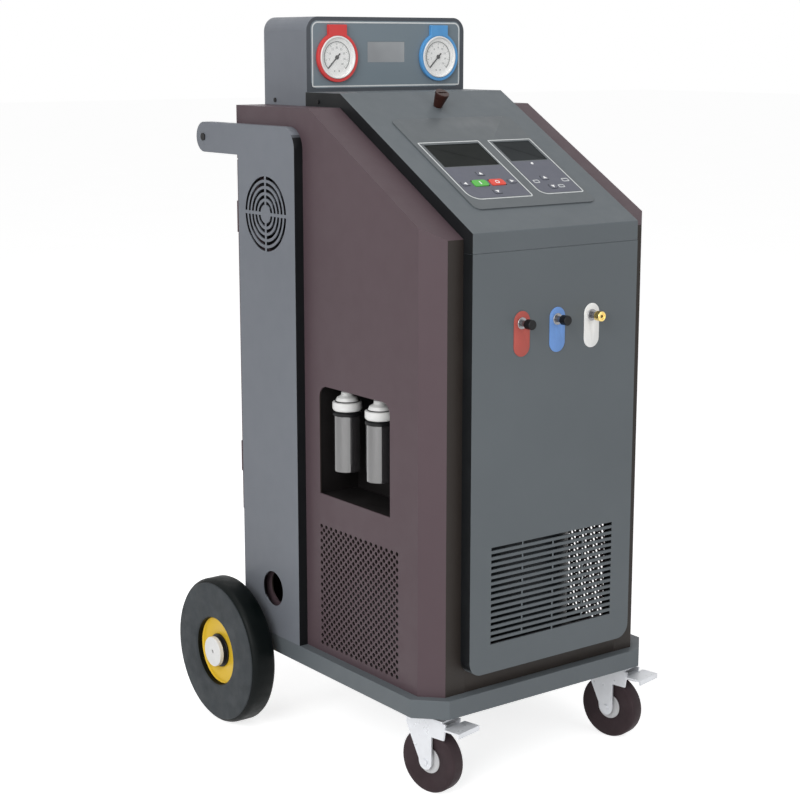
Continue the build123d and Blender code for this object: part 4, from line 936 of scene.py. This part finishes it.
class STATION_OT_service_ports(bpy.types.Operator):
    """Coloured port labels, couplings with their light seats and black caps"""
    bl_idname = "station.service_ports"
    bl_label = "Service ports"

    def execute(self, context):
        labels, necks, heads, seats = [], [], [], []
        cap_line = [(5.2, 12.6), (7.0, 12.6), (7.3, 13.0), (7.3, 23.6), (6.6, 24.5), (0.2, 24.7),
                    (0.2, 23.2), (5.2, 23.2)]
        neck_line = [(0.2, -10), (4.6, -10), (4.6, 19.0), (0.2, 19.0)]
        bore_line = [(2.4, 18.8), (4.9, 18.8), (4.9, 22.4), (2.4, 22.4)]
        seat_line = [(4.7, 1.2), (8.6, 1.2), (8.6, 1.9), (8.0, 2.5), (4.7, 2.5)]
        head_line = [(4.7, 12.4), (6.9, 12.4), (7.4, 13.0), (7.4, 22.6), (6.8, 23.4), (5.2, 23.6),
                     (4.7, 23.2)]
        for x, word, look in ((-PORT_X, "red", (paint("label_red"), 0.5)),
                              (0, "blue", (paint("label_blue"), 0.5)),
                              (PORT_X, "white", ((0.84, 0.84, 0.83, 1), 0.5, 0.02))):
            coat = plastic("label_" + word + "_print", *look)
            label = plate((x - 14.75, 655.5), (x + 14.75, 721.5), (14.7, 14.7, 14.7, 14.7), 1.2, 10)
            cut(label, rod(0.0053, mm(x, PORT_HEIGHT, -5), mm(x, PORT_HEIGHT, 5), 32))
            soften(label, 0.3, 2, 50)
            deliver(label, word + "_port_label", coat, matrix=on_front(SLAB_FACE))
            labels.append(label)
            place = on_front(SLAB_FACE) @ moved(x, PORT_HEIGHT, 0)
            necks.append(settle(lathe(neck_line, 32), place))
            seats.append(settle(lathe(seat_line, 40, closed=True), place))
            if x > 0:
                heads.append(settle(lathe(head_line, 36, closed=True), place))
                heads.append(settle(lathe(bore_line, 36, closed=True), place))
            else:
                node = word + "_port_cap"
                deliver(lathe(cap_line, 40), node + "_moulding", black_plastic(),
                        body=node, replaces=(node,), matrix=place)
        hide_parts("port_labels")
        neck_coat = metal("neck_steel", (0.2, 0.2, 0.21, 1), 0.35)
        deliver(join(*necks), "port_necks", neck_coat, replaces=("port_fittings",))
        pale = metal("seat_nickel", (0.30, 0.30, 0.31, 1), 0.35)
        deliver(join(*seats), "port_seats", pale)
        head = soften(join(*heads), 0.25, 2, 40)
        brass = metal("coupling_brass", (0.83, 0.62, 0.22, 1), 0.28)
        deliver(head, "service_port_head", brass)
        return {"FINISHED"}


class STATION_OT_oil_bottles(bpy.types.Operator):
    """Clear oil bottles with white flared lids and black rings"""
    bl_idname = "station.oil_bottles"
    bl_label = "Oil bottles"

    def execute(self, context):
        clear = coat_of("bottle_acrylic", clear_shell, (0.06, 0.057, 0.06, 1), 0.04, 0.5, 1.0, 2.0)
        coat_nodes(clear, "front_oil_bottle", "rear_oil_bottle")
        lid_line = [(0.2, 549), (20.3, 549), (21.6, 550.2), (22.6, 552.5), (22.6, 561.0), (21.8, 562.2),
                    (18.2, 563.0), (17.8, 564.0), (15.6, 569.0), (10.2, 571.8), (9.3, 573.2), (9.1, 577),
                    (8.0, 578.2), (5.4, 578.8), (4.5, 580), (4.4, 585.6), (3.6, 586.5), (0.2, 586.5)]
        ring_line = [(16.0, 541.8), (21.6, 541.8), (22.3, 542.6), (22.3, 545.6), (21.4, 546.6), (18.4, 547.0),
                     (18.4, 549.0), (16.0, 549.0)]
        band_line = [(16.5, 562.6), (18.9, 562.6), (18.9, 564.2), (16.5, 564.2)]
        lids, rings = [], []
        for depth in BOTTLE_DEPTHS:
            place = Matrix.Translation(point(BOTTLE_X, depth))
            lids.append(settle(lathe(lid_line, 56), place))
            rings.append(settle(lathe(ring_line, 56, closed=True), place))
            rings.append(settle(lathe(band_line, 56, closed=True), place))
        deliver(join(*lids), "bottle_lid_pair", white_plastic(), replaces=("bottle_lids",))
        deliver(join(*rings), "bottle_ring_pair", black_plastic())
        return {"FINISHED"}


class STATION_OT_fan_and_condenser(bpy.types.Operator):
    """Fan rotor, shroud and condenser"""
    bl_idname = "station.fan_and_condenser"
    bl_label = "Fan and condenser"

    def execute(self, context):
        coat_nodes(black_plastic(), "fan_rotor")
        # Painted shade: the condenser is near black so the space behind the grille reads dark
        coat_nodes(powder("fin_black", (0.02, 0.02, 0.022, 1), 0.5), "condenser_unit")
        return {"FINISHED"}


class STATION_OT_rear_fittings(bpy.types.Operator):
    """Power inlet with its pins, rocker switch, door latch and screws"""
    bl_idname = "station.rear_fittings"
    bl_label = "Rear fittings"

    def execute(self, context):
        coat_nodes(black_plastic(), "power_inlet", edge=0.4)
        coat_nodes(plastic("rocker_red", (0.55, 0.02, 0.02, 1), 0.3), "rocker_switch")
        coat_nodes(black_plastic(), "cover_screws", edge=0.4)
        low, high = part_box("power_inlet")
        middle, rear = (low[0] + high[0]) / 2, high[1]
        pins = [block((middle + x - 0.001, rear - 0.016, z - 0.002),
                      (middle + x + 0.001, rear - 0.004, z + 0.002))
                for x, z in ((-0.007, 0.236), (0.007, 0.236), (0.0, 0.246))]
        pin_coat = metal("pin_brass", (0.78, 0.66, 0.42, 1), 0.25)
        deliver(soften(join(*pins), 0.3), "inlet_pins", pin_coat)
        low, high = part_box("rear_door")
        dish_line = [(0.2, 0), (11.5, 0), (12, 0.5), (12, 1.6), (11.2, 2.2), (9.4, 2.2), (8.8, 1.2),
                     (0.2, 1.2)]
        dish = cut(lathe(dish_line, 40), block(mm(-6.5, -1.1, 0.2), mm(6.5, 1.1, 5)))
        place = Matrix.Translation((high[0] - 0.026, high[1] - 0.0003, (low[2] + high[2]) / 2))
        place = place @ Matrix.Rotation(-math.pi / 2, 4, "X")
        deliver(dish, "door_latch", zinc_coat(), body="rear_door", matrix=place)
        return {"FINISHED"}


class STATION_OT_inner_units(bpy.types.Operator):
    """Refrigerant tank, vacuum pump and compressor"""
    bl_idname = "station.inner_units"
    bl_label = "Inner units"

    def execute(self, context):
        coat_nodes(powder("tank_enamel", srgb(50, 54, 58), 0.35), "refrigerant_tank")
        coat_nodes(powder("pump_casting", srgb(58, 62, 66), 0.55, 0.12, 0.25), "vacuum_pump")
        coat_nodes(powder("compressor_black", srgb(38, 39, 41), 0.4), "compressor")
        return {"FINISHED"}


class STATION_OT_stage(bpy.types.Operator):
    """Pale floor, soft lights, white surroundings and the camera"""
    bl_idname = "station.stage"
    bl_label = "Stage"

    def execute(self, context):
        stage = context.scene.station_stage
        fresh()
        bpy.ops.mesh.primitive_plane_add(size=60, location=(0, 0, 0))
        floor = bpy.context.object
        floor.name = "studio_floor"
        coat = Coat("studio_floor_white")
        coat.tint((0.80, 0.80, 0.80, 1), 0.01, 2)
        coat.set(Roughness=0.9, Specular_IOR_Level=0.0)
        tree = coat.tree
        glow = coat.add("ShaderNodeEmission")
        glow.inputs["Color"].default_value = (1, 1, 1, 1)
        glow.inputs["Strength"].default_value = stage.floor_glow
        both = coat.add("ShaderNodeAddShader")
        pick = coat.add("ShaderNodeMixShader")
        coat.link(coat.shader.outputs["BSDF"], both.inputs[0])
        coat.link(glow.outputs["Emission"], both.inputs[1])
        coat.link(seen_rays(tree), pick.inputs[0])
        coat.link(coat.shader.outputs["BSDF"], pick.inputs[1])
        coat.link(both.outputs["Shader"], pick.inputs[2])
        coat.link(pick.outputs["Shader"], tree.nodes["Material Output"].inputs["Surface"])
        floor.data.materials.append(coat.material)

        world = bpy.data.worlds.new("studio_surroundings")
        world.use_nodes = True
        context.scene.world = world
        nodes, links = world.node_tree.nodes, world.node_tree.links
        back = nodes["Background"]
        back.inputs["Color"].default_value = (1, 1, 1, 1)
        sky = nodes.new("ShaderNodeMapRange")
        sky.inputs["To Min"].default_value = stage.sky
        sky.inputs["To Max"].default_value = 1.0
        links.new(seen_rays(world.node_tree), sky.inputs["Value"])
        links.new(sky.outputs["Result"], back.inputs["Strength"])

        lights = (("key_softbox", (-2.9, -1.6, 1.9), (2.2, 2.2), stage.key_power),
                  ("front_softbox", (0.9, -3.4, 1.5), (2.0, 1.6), stage.front_power),
                  ("top_softbox", (-0.3, -0.2, 3.4), (2.4, 2.4), stage.top_power))
        for name, place, size, energy in lights:
            data = bpy.data.lights.new(name, "AREA")
            data.shape, data.size, data.size_y, data.energy = "RECTANGLE", size[0], size[1], energy
            lamp = bpy.data.objects.new(name, data)
            context.collection.objects.link(lamp)
            lamp.location = place
            lamp.rotation_euler = (Vector((0, 0, 0.6)) - Vector(place)).to_track_quat("-Z", "Y").to_euler()

        lens = bpy.data.cameras.new("photo_camera")
        lens.lens, lens.sensor_width = 79.15, 36
        camera = bpy.data.objects.new("photo_camera", lens)
        context.collection.objects.link(camera)
        camera.location = (-1.6925, -2.1785, 1.0928)
        camera.rotation_euler = (math.radians(78.59), 0, math.radians(-36.8))
        context.scene.camera = camera
        context.scene.view_settings.view_transform = "Standard"
        return {"FINISHED"}


def seen_rays(tree):
    """1 for rays from the camera, reflections and clear pieces, 0 for the light on the object."""
    path = tree.nodes.new("ShaderNodeLightPath")
    seen = path.outputs["Is Camera Ray"]
    for ray in ("Is Glossy Ray", "Is Transmission Ray"):
        most = tree.nodes.new("ShaderNodeMath")
        most.operation = "MAXIMUM"
        tree.links.new(seen, most.inputs[0])
        tree.links.new(path.outputs[ray], most.inputs[1])
        seen = most.outputs[0]
    return seen


OPERATORS = (
    STATION_OT_sheet_metal, STATION_OT_side_panels, STATION_OT_rear_wheels, STATION_OT_castors,
    STATION_OT_console_face, STATION_OT_console_keys, STATION_OT_console_knob, STATION_OT_gauges,
    STATION_OT_pod_face, STATION_OT_service_ports, STATION_OT_oil_bottles, STATION_OT_fan_and_condenser,
    STATION_OT_rear_fittings, STATION_OT_inner_units, STATION_OT_stage,
)


class STATION_PT_looks(bpy.types.Panel):
    """Lists the steps that dress the station, with their sizes and colours"""
    bl_idname = "STATION_PT_looks"
    bl_label = "Recharge station"
    bl_space_type = "VIEW_3D"
    bl_region_type = "UI"
    bl_category = "Station"

    def draw(self, context):
        layout = self.layout
        for operator in OPERATORS:
            layout.operator(operator.bl_idname)
        scene = context.scene
        for group in (scene.station_colours, scene.station_sizes, scene.station_stage):
            box = layout.box()
            for key in group.__class__.__annotations__:
                box.prop(group, key)


CLASSES = (StationColours, StationSizes, StationStage, *OPERATORS, STATION_PT_looks)


def register():
    for cls in CLASSES:
        bpy.utils.register_class(cls)
    bpy.types.Scene.station_colours = bpy.props.PointerProperty(type=StationColours)
    bpy.types.Scene.station_sizes = bpy.props.PointerProperty(type=StationSizes)
    bpy.types.Scene.station_stage = bpy.props.PointerProperty(type=StationStage)


def unregister():
    for name in ("station_stage", "station_sizes", "station_colours"):
        delattr(bpy.types.Scene, name)
    for cls in reversed(CLASSES):
        bpy.utils.unregister_class(cls)


def main():
    """Register the add-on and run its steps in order."""
    register()
    for operator in OPERATORS:
        family, step = operator.bl_idname.split(".")
        getattr(getattr(bpy.ops, family), step)()


if __name__ == "__main__":
    main()
